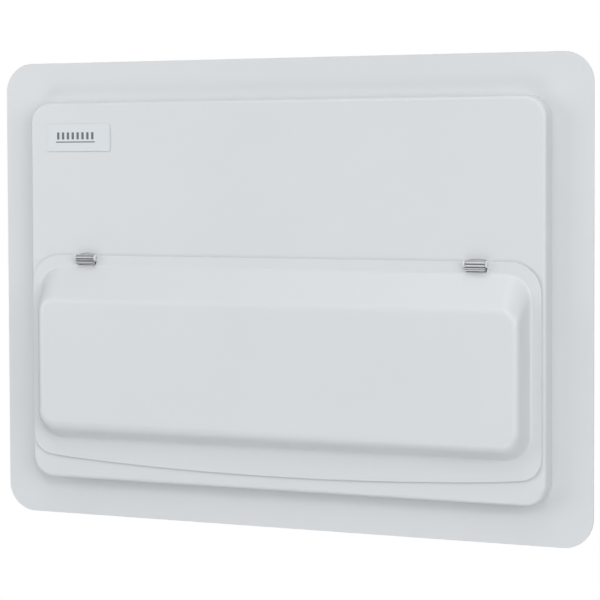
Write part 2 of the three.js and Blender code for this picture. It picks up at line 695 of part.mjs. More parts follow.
// The slot in the lower end that takes a prong of the busbar, at a place across the device.
function prongSlot(x) {
  const bottom = -DEVICE_HEIGHT / 2;
  return block(
    about(x, PRONG_WIDTH + 2 * PRONG_CLEARANCE),
    [bottom - OVERRUN, bottom + PRONG_REACH + GAP],
    about(BUSBAR_IN_FRONT_OF_RAIL, BUSBAR_SHEET + 2 * PRONG_CLEARANCE),
  );
}

function breakerBody(width) {
  const floor = DEVICE_DEPTH + BUTTON_PROUD - BUTTON_DEPTH - BUTTON_TRAVEL - GAP;
  const buttonHole = block(
    about(0, BUTTON_WIDTH + 2 * GAP),
    about(BUTTON_ABOVE_PIVOT, BUTTON_HEIGHT + 2 * GAP),
    [floor, DEVICE_DEPTH + OVERRUN],
  );
  const body = profileBar(deviceSection(), about(0, width));
  return cut(body, ...leverSlot(BREAKER_LEVER_WIDTH), prongSlot(0), buttonHole);
}

// A lever about its pivot: a drum on two trunnions, with a tapering handle straight out along z.
function lever(width) {
  const root = Math.asin(LEVER_HANDLE / 2 / LEVER_DRUM);
  const tip = LEVER_REACH - LEVER_TIP;
  const shape = new THREE.Shape();
  shape.absarc(0, 0, LEVER_DRUM, Math.PI / 2 + root, 2.5 * Math.PI - root);
  shape.absarc(0, tip, LEVER_TIP, 0, Math.PI);
  const handle = profileBar(shape, about(0, width), 2 * CORNER_STEPS);
  const axle = rod("x", TRUNNION_RADIUS, about(0, width + 2 * TRUNNION_REACH), [0, 0]);
  return join(handle, axle);
}

// A device at its place in the row.
function deviceGroup(first, modules) {
  const group = new THREE.Group();
  group.position.set(moduleSpan(first, modules).middle, rowY, railFront);
  panel.add(group);
  return group;
}

// Adds a lever to a device, switched off: its handle points down.
function addLever(group, name, geometry, look) {
  const mesh = piece(name, geometry, look);
  mesh.position.z = DEVICE_DEPTH - LEVER_PIVOT_DEPTH;
  mesh.rotation.x = THREE.MathUtils.degToRad(LEVER_SWING);
  group.add(mesh);
}

const breakerGeometry = {
  body: geometryOf(breakerBody(moduleSpan(0, 1).width)),
  lever: geometryOf(lever(BREAKER_LEVER_WIDTH)),
  button: geometryOf(
    block(about(0, BUTTON_WIDTH), about(0, BUTTON_HEIGHT), [BUTTON_PROUD - BUTTON_DEPTH, BUTTON_PROUD]),
  ),
};
for (let number = 1; number <= BREAKER_COUNT; number++) {
  const group = deviceGroup(BLANK_MODULES + number - 1, 1);
  group.add(piece(`rcbo_${number}_body`, breakerGeometry.body, DEVICE_PLASTIC));
  addLever(group, `rcbo_${number}_lever`, breakerGeometry.lever, LEVER_BLACK);
  const button = piece(`rcbo_${number}_test_button`, breakerGeometry.button, BUTTON_PLASTIC);
  button.position.set(0, BUTTON_ABOVE_PIVOT, DEVICE_DEPTH);
  group.add(button);
}

const wideWidth = moduleSpan(0, WIDE_MODULES).width;
const surgeFirst = BLANK_MODULES + BREAKER_COUNT;
const mainFirst = surgeFirst + WIDE_MODULES;
const mainProngX = MODULE_PITCH / 2;

const surgeGroup = deviceGroup(surgeFirst, WIDE_MODULES);
const surgeBody = cut(profileBar(deviceSection(), about(0, wideWidth)), prongSlot(-MODULE_PITCH / 2));
surgeGroup.add(piece("surge_protector_body", geometryOf(surgeBody), DEVICE_PLASTIC));

const mainGroup = deviceGroup(mainFirst, WIDE_MODULES);
const mainBody = cut(
  profileBar(deviceSection(), about(0, wideWidth)),
  ...leverSlot(MAIN_LEVER_WIDTH),
  prongSlot(mainProngX),
);
mainGroup.add(piece("main_switch_body", geometryOf(mainBody), DEVICE_PLASTIC));
addLever(mainGroup, "main_switch_lever", geometryOf(lever(MAIN_LEVER_WIDTH)), LEVER_RED);

// A blank that clips into the window over the unused modules.
function blankPlate() {
  const [tall, wall] = [windowHeight / 2 - GAP, BLANK_WALL];
  const upper = [
    [tall - wall, 0],
    [tall - wall, -wall - SHEET],
    [tall + BLANK_CATCH, -wall - SHEET],
    [tall + BLANK_CATCH, -SHEET - GAP],
    [tall, -SHEET - GAP],
    [tall, wall],
  ];
  const section = polygon([...upper, ...upper.map(([y, z]) => [-y, z]).reverse()]);
  return profileBar(section, about(0, moduleSpan(0, BLANK_MODULES).width));
}

const blankMiddle = moduleSpan(0, BLANK_MODULES).middle;
place("blank_plate", geometryOf(blankPlate()), BLANK_PLASTIC, blankMiddle, rowY, coverFace);

// ---------------------------------------------------------------- live busbar

const deviceBottom = rowY - DEVICE_HEIGHT / 2;
const busbarTop = deviceBottom - BUSBAR_BELOW;
const busbarZ = railFront + BUSBAR_IN_FRONT_OF_RAIL;
const prongXs = [
  ...Array.from({ length: BREAKER_COUNT }, (_, i) => moduleSpan(BLANK_MODULES + i, 1).middle),
  moduleSpan(surgeFirst, 1).middle,
  moduleSpan(mainFirst, WIDE_MODULES).middle + mainProngX,
];
const busbarSpan = [prongXs[0] - PRONG_WIDTH, prongXs[prongXs.length - 1] + PRONG_WIDTH];

function busbar() {
  const z = about(busbarZ, BUSBAR_SHEET);
  const prongs = prongXs.map((x) =>
    block(about(x, PRONG_WIDTH), [busbarTop - OVERRUN, deviceBottom + PRONG_REACH], z),
  );
  return join(block(busbarSpan, [busbarTop - BUSBAR_HEIGHT, busbarTop], z), ...prongs);
}

// An insulating channel that the bar lies in, open at the top for the prongs.
function busbarShroud() {
  const inside = BUSBAR_SHEET / 2 + SHROUD_CLEARANCE;
  const outside = inside + SHROUD_WALL;
  const floor = busbarTop - BUSBAR_HEIGHT - GAP;
  const section = polygon([
    [busbarTop, busbarZ - outside],
    [floor - SHROUD_WALL, busbarZ - outside],
    [floor - SHROUD_WALL, busbarZ + outside],
    [busbarTop, busbarZ + outside],
    [busbarTop, busbarZ + inside],
    [floor, busbarZ + inside],
    [floor, busbarZ - inside],
    [busbarTop, busbarZ - inside],
  ]);
  return profileBar(section, [busbarSpan[0] - PRONG_WIDTH, busbarSpan[1] + PRONG_WIDTH]);
}

place("busbar", geometryOf(busbar()), COPPER);
place("busbar_shroud", geometryOf(busbarShroud()), GREY_PLASTIC);

// ---------------------------------------------------------------- terminal bars

// A terminal bar from x = 0, with a row of cable holes through it.
function terminalBar() {
  const pitch = BAR_LENGTH / BAR_HOLES;
  const holes = Array.from({ length: BAR_HOLES }, (_, i) =>
    rod("y", BAR_HOLE_RADIUS, [-BAR_HEIGHT, BAR_HEIGHT], [(i + 0.5) * pitch, BAR_THICKNESS / 2], BORE_STEPS),
  );
  return cut(block([0, BAR_LENGTH], about(0, BAR_HEIGHT), [0, BAR_THICKNESS]), ...holes);
}

// Its moulded carrier: a base on the rear wall and a forked post under each end of the bar.
function barCarrier() {
  const across = about(0, CARRIER_POST);
  const throughAcross = about(0, 2 * CARRIER_POST);
  const top = BAR_STAND + BAR_THICKNESS;
  const base = block([-CARRIER_POST, BAR_LENGTH + CARRIER_POST], across, [0, CARRIER_BASE]);
  const posts = [-CARRIER_POST, BAR_LENGTH].map((x) => block([x, x + CARRIER_POST], across, [0, top]));
  const seat = block([-CARRIER_POST / 2, BAR_LENGTH + CARRIER_POST / 2], across, [0, BAR_STAND]);
  const underside = block([0, BAR_LENGTH], throughAcross, [CARRIER_BASE, BAR_STAND - CARRIER_BASE]);
  const pocket = block([-GAP, BAR_LENGTH + GAP], throughAcross, [BAR_STAND, top]);
  return cut(join(base, seat, ...posts), underside, pocket);
}

const barGeometry = geometryOf(terminalBar());
const carrierGeometry = geometryOf(barCarrier());
const TERMINAL_BARS = [
  ["neutral_bar", NEUTRAL_BAR_FROM_TOP],
  ["earth_bar", EARTH_BAR_FROM_TOP],
];
for (const [name, fromTop] of TERMINAL_BARS) {
  const y = coverHalf.y - fromTop;
  place(name, barGeometry, BRASS, BAR_LEFT, y, rearWall + BAR_STAND + GAP);
  place(`${name}_carrier`, carrierGeometry, GREY_PLASTIC, BAR_LEFT, y, rearWall);
}

// ---------------------------------------------------------------- cable entries and supply clamp

// Three stacked rings round an opening in the top wall: a flange inside, a neck through it, a flange outside.
function grommet(ringSolid) {
  const inside = entryTop - SHEET - GAP;
  const outside = entryTop + GAP;
  return join(
    ringSolid(GROMMET_FLANGE, [inside - GROMMET_THICKNESS, inside]),
    ringSolid(-GAP, [inside - GROMMET_THICKNESS, outside + GROMMET_THICKNESS]),
    ringSolid(GROMMET_FLANGE, [outside, outside + GROMMET_THICKNESS]),
  );
}

function cableGrommetRing(grow, span) {
  const outer = block(about(ENTRY_X, ENTRY_WIDTH + 2 * grow), span, about(ENTRY_Z, ENTRY_DEPTH + 2 * grow));
  const shrink = 2 * (GROMMET_WALL + GAP);
  const inner = block(
    about(ENTRY_X, ENTRY_WIDTH - shrink),
    [span[0] - OVERRUN, span[1] + OVERRUN],
    about(ENTRY_Z, ENTRY_DEPTH - shrink),
  );
  return cut(outer, inner);
}

function tailGrommetRing(grow, span) {
  const across = [TAIL_ENTRY_X, ENTRY_Z];
  const bore = TAIL_ENTRY_RADIUS - GROMMET_WALL - GAP;
  return cut(
    rod("y", TAIL_ENTRY_RADIUS + grow, span, across, 2 * ROUND_STEPS),
    rod("y", bore, [span[0] - OVERRUN, span[1] + OVERRUN], across, 2 * ROUND_STEPS),
  );
}

place("cable_grommet", geometryOf(grommet(cableGrommetRing)), RUBBER);
place("tail_grommet", geometryOf(grommet(tailGrommetRing)), RUBBER);

// The two halves of the supply cable clamp meet in the plane of the cables' axes.
function clampHalf(z) {
  const cables = [-1, 1].map((side) =>
    rod("y", TAIL_CABLE_RADIUS, [-CLAMP_HEIGHT, CLAMP_HEIGHT], [(side * TAIL_CABLE_SPACING) / 2, 0]),
  );
  return cut(block(about(0, CLAMP_WIDTH), about(0, CLAMP_HEIGHT), z), ...cables);
}

const clampY = coverHalf.y - CLAMP_FROM_TOP;
const clampBase = clampHalf([rearWall - ENTRY_Z, -GAP / 2]);
const clampStrap = clampHalf([GAP / 2, CLAMP_STRAP]);
place("tail_clamp_base", geometryOf(clampBase), GREY_PLASTIC, TAIL_ENTRY_X, clampY, ENTRY_Z);
place("tail_clamp_strap", geometryOf(clampStrap), GREY_PLASTIC, TAIL_ENTRY_X, clampY, ENTRY_Z);

// ---------------------------------------------------------------- labels

const labelZ = [coverFace + GAP, coverFace + GAP + LABEL_THICKNESS];
const badgeLeft = BADGE_INSET[0] - coverHalf.x;
const badgeTop = coverHalf.y - BADGE_INSET[1];
const badgeShape = roundedRectangle(
  [badgeLeft, badgeLeft + BADGE_SIZE[0]],
  [badgeTop - BADGE_SIZE[1], badgeTop],
  BADGE_CORNER,
);
const circuitLabelTop = rowY - windowHeight / 2 - CIRCUIT_LABEL_BELOW;
const circuitLabel = block(
  about(0, MODULE_COUNT * MODULE_PITCH),
  [circuitLabelTop - CIRCUIT_LABEL_HEIGHT, circuitLabelTop],
  labelZ,
);
place("badge", geometryOf(plate(badgeShape, labelZ)), PAPER);
place("circuit_label_strip", geometryOf(circuitLabel), PAPER);

// The panel stands upright: its depth points along -Y and its height along +Z.
panel.rotation.x = Math.PI / 2;
const consumerUnit = new THREE.Group();
consumerUnit.add(panel);
export default consumerUnit;
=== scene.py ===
"""Looks of a flush-mounted consumer unit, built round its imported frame.

The unit is a galvanised box let into a wall, a powder-coated flush frame, a pressed front cover with a
hinged lid, and the switchgear on its rail behind the lid. Shapes are drawn in panel axes, in millimetres:
x to the right, y up, z out of the wall from the rear of the box. One function takes them to the frame.
"""

from __future__ import annotations

import json
import logging
import math
from dataclasses import dataclass, field, replace
from enum import Enum
from functools import cache
from typing import Iterable, Optional, Sequence

import bmesh
import bpy
import numpy as np
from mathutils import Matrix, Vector

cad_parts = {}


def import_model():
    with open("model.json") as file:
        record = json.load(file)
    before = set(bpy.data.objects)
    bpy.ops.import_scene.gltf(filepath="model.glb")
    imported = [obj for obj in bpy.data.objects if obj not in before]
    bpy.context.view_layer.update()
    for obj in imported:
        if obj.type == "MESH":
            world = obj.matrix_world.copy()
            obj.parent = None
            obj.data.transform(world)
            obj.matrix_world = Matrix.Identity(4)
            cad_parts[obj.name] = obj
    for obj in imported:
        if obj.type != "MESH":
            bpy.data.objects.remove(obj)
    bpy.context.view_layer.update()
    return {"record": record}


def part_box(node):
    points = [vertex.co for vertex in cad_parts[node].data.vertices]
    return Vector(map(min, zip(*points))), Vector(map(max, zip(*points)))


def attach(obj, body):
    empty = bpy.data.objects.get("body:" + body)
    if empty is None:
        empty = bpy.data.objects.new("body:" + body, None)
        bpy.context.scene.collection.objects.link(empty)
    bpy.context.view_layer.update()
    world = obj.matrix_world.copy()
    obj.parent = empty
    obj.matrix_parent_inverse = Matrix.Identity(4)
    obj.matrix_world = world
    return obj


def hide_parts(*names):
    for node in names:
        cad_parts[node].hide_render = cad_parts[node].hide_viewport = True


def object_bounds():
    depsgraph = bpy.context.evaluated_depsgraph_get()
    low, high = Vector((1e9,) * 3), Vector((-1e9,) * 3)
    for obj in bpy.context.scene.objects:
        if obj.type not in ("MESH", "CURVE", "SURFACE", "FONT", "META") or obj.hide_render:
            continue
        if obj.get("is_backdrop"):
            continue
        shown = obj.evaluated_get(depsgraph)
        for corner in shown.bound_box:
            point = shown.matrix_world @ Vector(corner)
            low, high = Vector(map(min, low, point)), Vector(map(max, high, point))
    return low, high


log = logging.getLogger("consumer_unit")

Point = tuple[float, float, float]
Span = tuple[float, float]
Section = list[tuple[float, float]]
Ring = np.ndarray
Socket = bpy.types.NodeSocket

MM = 0.001
SIDES = ("left", "right")
SHARP_ANGLE = math.radians(32)  # an edge sharper than this isn't shaded smooth
FLAT_ANGLE = math.radians(1)  # faces of a CAD node closer than this are one face
WELD = 1e-7  # how close two corners are one, in metres
CAD_WELD = 1e-6  # the same for a CAD node's corners
EDGE_BEND = 0.3  # where the facet of a broken edge bends, as a share of the edge
CRISP_EDGE = 0.01  # the edge of a cut or a print, which is hardly broken
OVERRUN = 1.0  # how far a cutting block stands out past the face that it cuts
PRINT_DEPTH = 0.03
TYPE_DEPTH = 0.04
FILM_EDGE = 0.08
SLOT_CORNER = 0.05

# The hinge, which the cover, the lid and the clips share.
KNUCKLE_RADIUS = 2.1
KNUCKLE_DROP = 2.1  # from the knuckle's round down to the leaf's underside
HINGE_AXIS_BACK = 3.1  # from the pin's axis back to the rear of the lid's rim
RIM_ABOVE_AXIS = 1.5


# ---------------------------------------------------------------- panel axes and boxes


def about(middle: float, half: float) -> Span:
    """The span that reaches as far to either side of its middle."""
    return (middle - half, middle + half)


def span_from(start: float, size: float) -> Span:
    """The span of a given size from its start."""
    return (start, start + size)


@dataclass(frozen=True)
class PanelBox:
    """A node's box in panel axes, in millimetres."""

    left: float
    right: float
    bottom: float
    top: float
    back: float
    front: float

    @classmethod
    def of(cls, node: str) -> "PanelBox":
        """Reads the box of a CAD node."""
        low, high = (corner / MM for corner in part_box(node))
        return cls(low.x, high.x, low.z, high.z, -high.y, -low.y)

    @property
    def across(self) -> Span:
        """From and to across the panel."""
        return (self.left, self.right)

    @property
    def up(self) -> Span:
        """From and to up the panel."""
        return (self.bottom, self.top)

    @property
    def out(self) -> Span:
        """From and to out of the wall."""
        return (self.back, self.front)

    @property
    def width(self) -> float:
        """The box's size across the panel."""
        return self.right - self.left

    @property
    def middle(self) -> Point:
        """The middle of the box."""
        return tuple(sum(span) / 2 for span in (self.across, self.up, self.out))

    def cut(self, depth: float) -> Span:
        """Where a block lies that cuts to a depth into the front face."""
        return (self.front - depth, self.front + OVERRUN)


def to_frame(points: np.ndarray) -> np.ndarray:
    """Takes panel points in millimetres to the frame's axes in metres.

    Args:
        points: An array of x, y, z rows in panel axes.

    Returns:
        The same points as rows of the frame's x, y, z.
    """
    points = np.asarray(points, float)
    return np.stack([points[:, 0], -points[:, 2], points[:, 1]], axis=1) * MM


# ---------------------------------------------------------------- node materials


def srgb(hex_value: str) -> tuple[float, float, float, float]:
    """Turns an sRGB hex colour into the linear colour that shaders take.

    Args:
        hex_value: Six hexadecimal digits.

    Returns:
        Linear red, green and blue, and an alpha of one.
    """
    channels = [int(hex_value[i : i + 2], 16) / 255 for i in (0, 2, 4)]
    linear = [c / 12.92 if c <= 0.04045 else ((c + 0.055) / 1.055) ** 2.4 for c in channels]
    return (*linear, 1.0)


def add_node(
    tree: bpy.types.NodeTree,
    kind: str,
    links: Optional[dict[str | int, Socket]] = None,
    values: Optional[dict[str | int, object]] = None,
    **settings: object,
) -> bpy.types.Node:
    """Adds one node with its settings, socket values and incoming links.

    Args:
        tree: The node tree to add to.
        kind: The node's type name.
        links: Output sockets to join to the new node's inputs, by input name or number.
        values: Values for the new node's inputs, by input name or number.
        **settings: Attributes of the node itself.

    Returns:
        The new node.
    """
    node = tree.nodes.new(kind)
    for key, value in settings.items():
        setattr(node, key, value)
    for key, value in (values or {}).items():
        node.inputs[key].default_value = value
    for key, socket in (links or {}).items():
        tree.links.new(socket, node.inputs[key])
    return node


class Recipe:
    """A finish's node tree in the making, with the few patterns that the finishes are made of."""

    MIX_A, MIX_B, MIX_RESULT = 6, 7, 2  # the colour sockets of a mix node

    def __init__(self, finish: "Finish") -> None:
        """Starts a material with its shader.

        Args:
            finish: The finish, for its name, colour and smoothness.
        """
        self.finish = finish
        self.material = bpy.data.materials.new(finish.name)
        self.material.use_nodes = True
        self.tree = self.material.node_tree
        self.tree.nodes.clear()
        values = {
            "Base Color": srgb(finish.colour),
            "Roughness": finish.roughness,
            "Metallic": finish.metallic,
            "IOR": finish.ior,
        }
        self.shader = add_node(self.tree, "ShaderNodeBsdfPrincipled", values=values)
        add_node(self.tree, "ShaderNodeOutputMaterial", {"Surface": self.shader.outputs["BSDF"]})
        self.place = add_node(self.tree, "ShaderNodeTexCoord").outputs["Object"]

    def noise(self, size_mm: float, detail: float = 2.0, stretch: float = 1.0) -> Socket:
        """Adds a noise in the object's own coordinates.

        Args:
            size_mm: The real size of its grain.
            detail: How many finer layers it has.
            stretch: The scale across the panel; below one, the grain is drawn out into streaks.

        Returns:
            The noise's value.
        """
        place = self.place
        if stretch != 1.0:
            scale = {"Scale": (stretch, 1.0, 1.0)}
            place = add_node(self.tree, "ShaderNodeMapping", {"Vector": place}, scale).outputs["Vector"]
        values = {"Scale": 1 / (size_mm * MM), "Detail": detail}
        return add_node(self.tree, "ShaderNodeTexNoise", {"Vector": place}, values).outputs["Fac"]

    def spread(self, pattern: Socket, to: Span, limits: Span = (0.0, 1.0)) -> Socket:
        """Spreads a pattern between two values.

        Args:
            pattern: The pattern's value.
            to: The two values.
            limits: The pattern's values that they stand for.

        Returns:
            The spread value.
        """
        values = {"From Min": limits[0], "From Max": limits[1], "To Min": to[0], "To Max": to[1]}
        return add_node(self.tree, "ShaderNodeMapRange", {"Value": pattern}, values).outputs["Result"]

    def tint(self, tone: Socket) -> None:
        """Darkens the finish's colour by a tone."""
        values = {"Factor": 1.0, self.MIX_A: srgb(self.finish.colour)}
        kind = {"data_type": "RGBA", "blend_type": "MULTIPLY"}
        mixed = add_node(self.tree, "ShaderNodeMix", {self.MIX_B: tone}, values, **kind)
        self.tree.links.new(mixed.outputs[self.MIX_RESULT], self.shader.inputs["Base Color"])

    def roughen(self, pattern: Socket, by: float) -> None:
        """Varies the roughness with a pattern, by a share of itself each way."""
        rough = self.spread(pattern, (self.finish.roughness * (1 - by), self.finish.roughness * (1 + by)))
        self.tree.links.new(rough, self.shader.inputs["Roughness"])

    def bump(self, pattern: Socket, strength: float, depth_mm: float) -> None:
        """Raises a pattern as a bump of a real depth."""
        values = {"Strength": strength, "Distance": depth_mm * MM}
        bump = add_node(self.tree, "ShaderNodeBump", {"Height": pattern}, values)
        self.tree.links.new(bump.outputs["Normal"], self.shader.inputs["Normal"])


@dataclass(frozen=True)
class Finish:
    """What every finish shares: a name, a colour and how smooth it is."""

    name: str
    colour: str
    roughness: float
    ior: float = 1.5
    metallic: float = 0.0

    def build(self) -> bpy.types.Material:
        """Makes the material. Each kind of finish has its own."""
        raise NotImplementedError


@dataclass(frozen=True)
class PowderCoat(Finish):
    """Polyester powder, sprayed and stoved on steel sheet.

    It gives an even satin white with a faint orange peel, a couple of millimetres from crest to crest.
    """

    peel_mm: float = 2.2
    peel_detail: float = 1.5
    peel_strength: float = 0.35
    peel_depth_mm: float = 0.006
    cloud_mm: float = 90.0
    cloud_tones: Span = (0.985, 1.0)
    cloud_limits: Span = (0.3, 0.7)

    def build(self) -> bpy.types.Material:
        """Makes the coat: a slight cloud in the colour, and the peel as a bump."""
        recipe = Recipe(self)
        recipe.tint(recipe.spread(recipe.noise(self.cloud_mm), self.cloud_tones, self.cloud_limits))
        recipe.bump(recipe.noise(self.peel_mm, self.peel_detail), self.peel_strength, self.peel_depth_mm)
        return recipe.material


@dataclass(frozen=True)
class PlatedSteel(Finish):
    """Zinc-plated or galvanised steel, rolled.

    It gives a cool grey metal with fine streaks along the rolling direction and cloudy patches.
    """

    metallic: float = 1.0
    streak_mm: float = 0.5
    streak_stretch: float = 0.04
    streak_strength: float = 0.3
    streak_depth_mm: float = 0.01
    streak_spread: float = 0.2
    patch_mm: float = 9.0
    patch_contrast: float = 0.12

    def build(self) -> bpy.types.Material:
        """Makes the metal: patches in the colour, streaks in the roughness and as a bump."""
        recipe = Recipe(self)
        values = {"Scale": 1 / (self.patch_mm * MM), "Randomness": 1.0}
        patches = add_node(recipe.tree, "ShaderNodeTexVoronoi", {"Vector": recipe.place}, values)
        recipe.tint(recipe.spread(patches.outputs["Color"], (1 - self.patch_contrast, 1.0)))
        streaks = recipe.noise(self.streak_mm, stretch=self.streak_stretch)
        recipe.roughen(streaks, self.streak_spread)
        recipe.bump(streaks, self.streak_strength, self.streak_depth_mm)
        return recipe.material


@dataclass(frozen=True)
class Moulding(Finish):
    """Injection-moulded plastic.

    It gives a soft sheen that the fine spark-eroded grain of the tool breaks up.
    """

    grain_mm: float = 0.35
    grain_strength: float = 0.4
    grain_depth_mm: float = 0.01
    grain_spread: float = 0.1

    def build(self) -> bpy.types.Material:
        """Makes the plastic: grain as a bump, and a slight variation of the roughness."""
        recipe = Recipe(self)
        grain = recipe.noise(self.grain_mm)
        recipe.roughen(grain, self.grain_spread)
        recipe.bump(grain, self.grain_strength, self.grain_depth_mm)
        return recipe.material


# The satin white of the frame, the cover and the lid, a touch cool.
WHITE_COAT = PowderCoat("white_powder_coat", "dbdee0", 0.32)
# Small bright parts that catch the light: hinges, pins and screws.
BRIGHT_ZINC = PlatedSteel("bright_zinc_plate", "c9cacb", 0.3, patch_contrast=0.03)
# The dull, patchy grey of the box, the rail and the pillars.
GALVANISED = PlatedSteel("galvanised_sheet", "b4b8bb", 0.42)
# The off-white of the devices, warmer than the coat round them.
SWITCH_CASE = Moulding("switch_case_polyamide", "e4e5e4", 0.42)
# Near-black toggles, which stand out from the pale row.
TOGGLE_DARK = Moulding("toggle_dark_polyamide", "26282b", 0.34)
# The signal red of the main switch's toggle.
TOGGLE_RED = Moulding("toggle_red_polyamide", "a81a1c", 0.34)
# The amber of the test buttons.
TEST_AMBER = Moulding("test_button_amber", "d9a125", 0.36)
# A shade greyer and duller than the devices that it stands in for.
BLANK_GREY = Moulding("blank_abs", "d6d8d8", 0.45)
# The mid grey of the carriers, the clamp and the busbar's shroud.
CARRIER_GREY = Moulding("carrier_polyamide", "6f757a", 0.5)
# The dead black of the rubber edging.
GROMMET_RUBBER = Moulding("grommet_rubber", "1d1e1f", 0.7)
# The badge's film, smoother than the coat and a shade darker.
BADGE_FILM = Moulding("badge_film", "dadfe3", 0.34, grain_mm=0.6, grain_depth_mm=0.004)
# The bluish grey of all that is printed.
BADGE_INK = Moulding("badge_ink", "6a6d76", 0.4)
# The label strip, paler than the cover.
LABEL_FILM = Moulding("label_film", "eceeee", 0.4, grain_mm=0.6, grain_depth_mm=0.004)
# Bare copper and brass, which show only inside the box.
COPPER = PlatedSteel("bar_copper", "c07a52", 0.3, patch_contrast=0.05)
BRASS = PlatedSteel("bar_brass", "c2a560", 0.3, patch_contrast=0.05)
# The surge protector's flags, green while it works.
STATUS_GREEN = Moulding("status_flag_green", "2f9a4a", 0.35)
# A stand-in for the blocks that cut, which never shows.
CUT_FACE = Moulding("cut_face", "808080", 0.5)
# The floor, a matt white sheet.
FLOOR_PAPER = Moulding("floor_paper", "ffffff", 0.9, grain_mm=3.0)


@cache
def material_of(finish: Finish) -> bpy.types.Material:
    """The Blender material of a finish, made once."""
    return finish.build()


# ---------------------------------------------------------------- meshes


def placed(name: str, data: bpy.types.ID) -> bpy.types.Object:
    """A new object round its data, linked to the scene."""
    made = bpy.data.objects.new(name, data)
    bpy.context.scene.collection.objects.link(made)
    return made


def smooth_between_edges(mesh: bpy.types.Mesh) -> None:
    """Shades a mesh smooth, apart from its sharp edges."""
    mesh.polygons.foreach_set("use_smooth", [True] * len(mesh.polygons))
    mesh.set_sharp_from_angle(angle=SHARP_ANGLE)


def finished(name: str, mesh: bpy.types.Mesh, made: bmesh.types.BMesh, finish: Finish) -> bpy.types.Object:
    """Turns an edited mesh into an object of its finish.

    Args:
        name: The object's name.
        mesh: The mesh that takes the edit.
        made: The edited mesh.
        finish: What it is made of.

    Returns:
        The new object.
    """
    made.to_mesh(mesh)
    made.free()
    smooth_between_edges(mesh)
    mesh.materials.append(material_of(finish))
    return placed(name, mesh)


@dataclass
class Surface:
    """Points and faces in panel axes, on their way to a mesh."""

    points: list[Point] = field(default_factory=list)
    faces: list[tuple[int, ...]] = field(default_factory=list)

    def add(self, points: Iterable[Sequence[float]], faces: Iterable[Sequence[int]]) -> "Surface":
        """Adds points and the faces between them.

        Args:
            points: The points.
            faces: The faces, as the numbers of their corners among these points.

        Returns:
            This surface.
        """
        start = len(self.points)
        self.points.extend(tuple(p) for p in points)
        self.faces.extend(tuple(start + i for i in face) for face in faces)
        return self

    def object(self, name: str, finish: Finish) -> bpy.types.Object:
        """Makes the object, smooth between its sharp edges.

        Args:
            name: The piece's name.
            finish: What it is made of.

        Returns:
            The new object, linked to the scene.
        """
        mesh = bpy.data.meshes.new(name)
        mesh.from_pydata([tuple(p) for p in to_frame(np.array(self.points))], [], self.faces)
        mesh.validate()
        made = bmesh.new()
        made.from_mesh(mesh)
        bmesh.ops.remove_doubles(made, verts=made.verts, dist=WELD)
        bmesh.ops.recalc_face_normals(made, faces=made.faces)
        return finished(name, mesh, made, finish)


def together(*surfaces: Surface) -> Surface:
    """Several closed surfaces as one."""
    whole = Surface()
    for surface in surfaces:
        whole.add(surface.points, surface.faces)
    return whole


def loft(rings: Sequence[Ring], closed: bool = False) -> Surface:
    """Joins rings of equal count with quads.

    Args:
        rings: The rings, from the first to the last.
        closed: Whether the last ring joins the first; if not, both ends are capped.

    Returns:
        The surface.
    """
    count = len(rings[0])
    surface = Surface().add(np.concatenate(rings), [])
    levels = len(rings) if closed else len(rings) - 1
    for level in range(levels):
        a, b = level * count, ((level + 1) % len(rings)) * count
        for i in range(count):
            j = (i + 1) % count
            surface.faces.append((a + i, b + i, b + j, a + j))
    if not closed:
        surface.faces.append(tuple(range(count)))
        last = (len(rings) - 1) * count
        surface.faces.append(tuple(last + i for i in reversed(range(count))))
    return surface


@dataclass(frozen=True)
class Outline:
    """A rounded rectangle in the panel's plane, whose bottom edge may bow downwards."""

    left: float
    right: float
    bottom: float
    top: float
    top_corner: float
    bottom_corner: float
    bow_radius: float = math.inf
    corner_steps: int = 14
    bottom_steps: int = 20
    least_corner: float = 0.05
    corner_middle: float = 0.6  # where a corner meets the bow, as a share of its radius

    @classmethod
    def of(cls, box: PanelBox, corner: float) -> "Outline":
        """A box's outline with all four corners rounded alike."""
        return cls(*box.across, *box.up, corner, corner)

    def inset(self, by: float) -> "Outline":
        """The same outline moved in by a distance."""
        return self.reach(by, by, by)

    def reach(self, side: float, top: float, bottom: float) -> "Outline":
        """Moves the sides, the top and the bottom in, each by its own distance.

        Args:
            side: The distance for both sides, which the corners' radii follow.
            top: The distance for the top.
            bottom: The distance for the bottom.

        Returns:
            The new outline.
        """
        return replace(
            self,
            left=self.left + side,
            right=self.right - side,
            bottom=self.bottom + bottom,
            top=self.top - top,
            top_corner=max(self.top_corner - side, self.least_corner),
            bottom_corner=max(self.bottom_corner - side, self.least_corner),
        )

    def at(self, depth: float) -> Ring:
        """The outline's points at a depth, counter-clockwise from the front.

        Args:
            depth: The distance out from the rear of the box.

        Returns:
            The ring, from the bottom left round to the left side.
        """
        middle = (self.left + self.right) / 2
        half = (self.right - self.left) / 2

        def lift(x: float) -> float:
            """How far the bowed bottom has risen at a place across the panel."""
            return (x - middle) ** 2 / (2 * self.bow_radius)

        points: list[Point] = []
        for i in range(1, self.bottom_steps):
            x = middle + (half - self.bottom_corner) * (2 * i / self.bottom_steps - 1)
            points.append((x, self.bottom + lift(x), depth))
        low, high = self.bottom_corner, self.top_corner
        low_y = self.bottom + lift(self.right - low * self.corner_middle) + low
        corners = (
            (self.right - low, low_y, low, -0.5),
            (self.right - high, self.top - high, high, 0.0),
            (self.left + high, self.top - high, high, 0.5),
            (self.left + low, low_y, low, 1.0),
        )
        for x, y, radius, turn in corners:
            for i in range(self.corner_steps + 1):
                angle = (turn + 0.5 * i / self.corner_steps) * math.pi
                points.append((x + radius * math.cos(angle), y + radius * math.sin(angle), depth))
        return np.array(points)


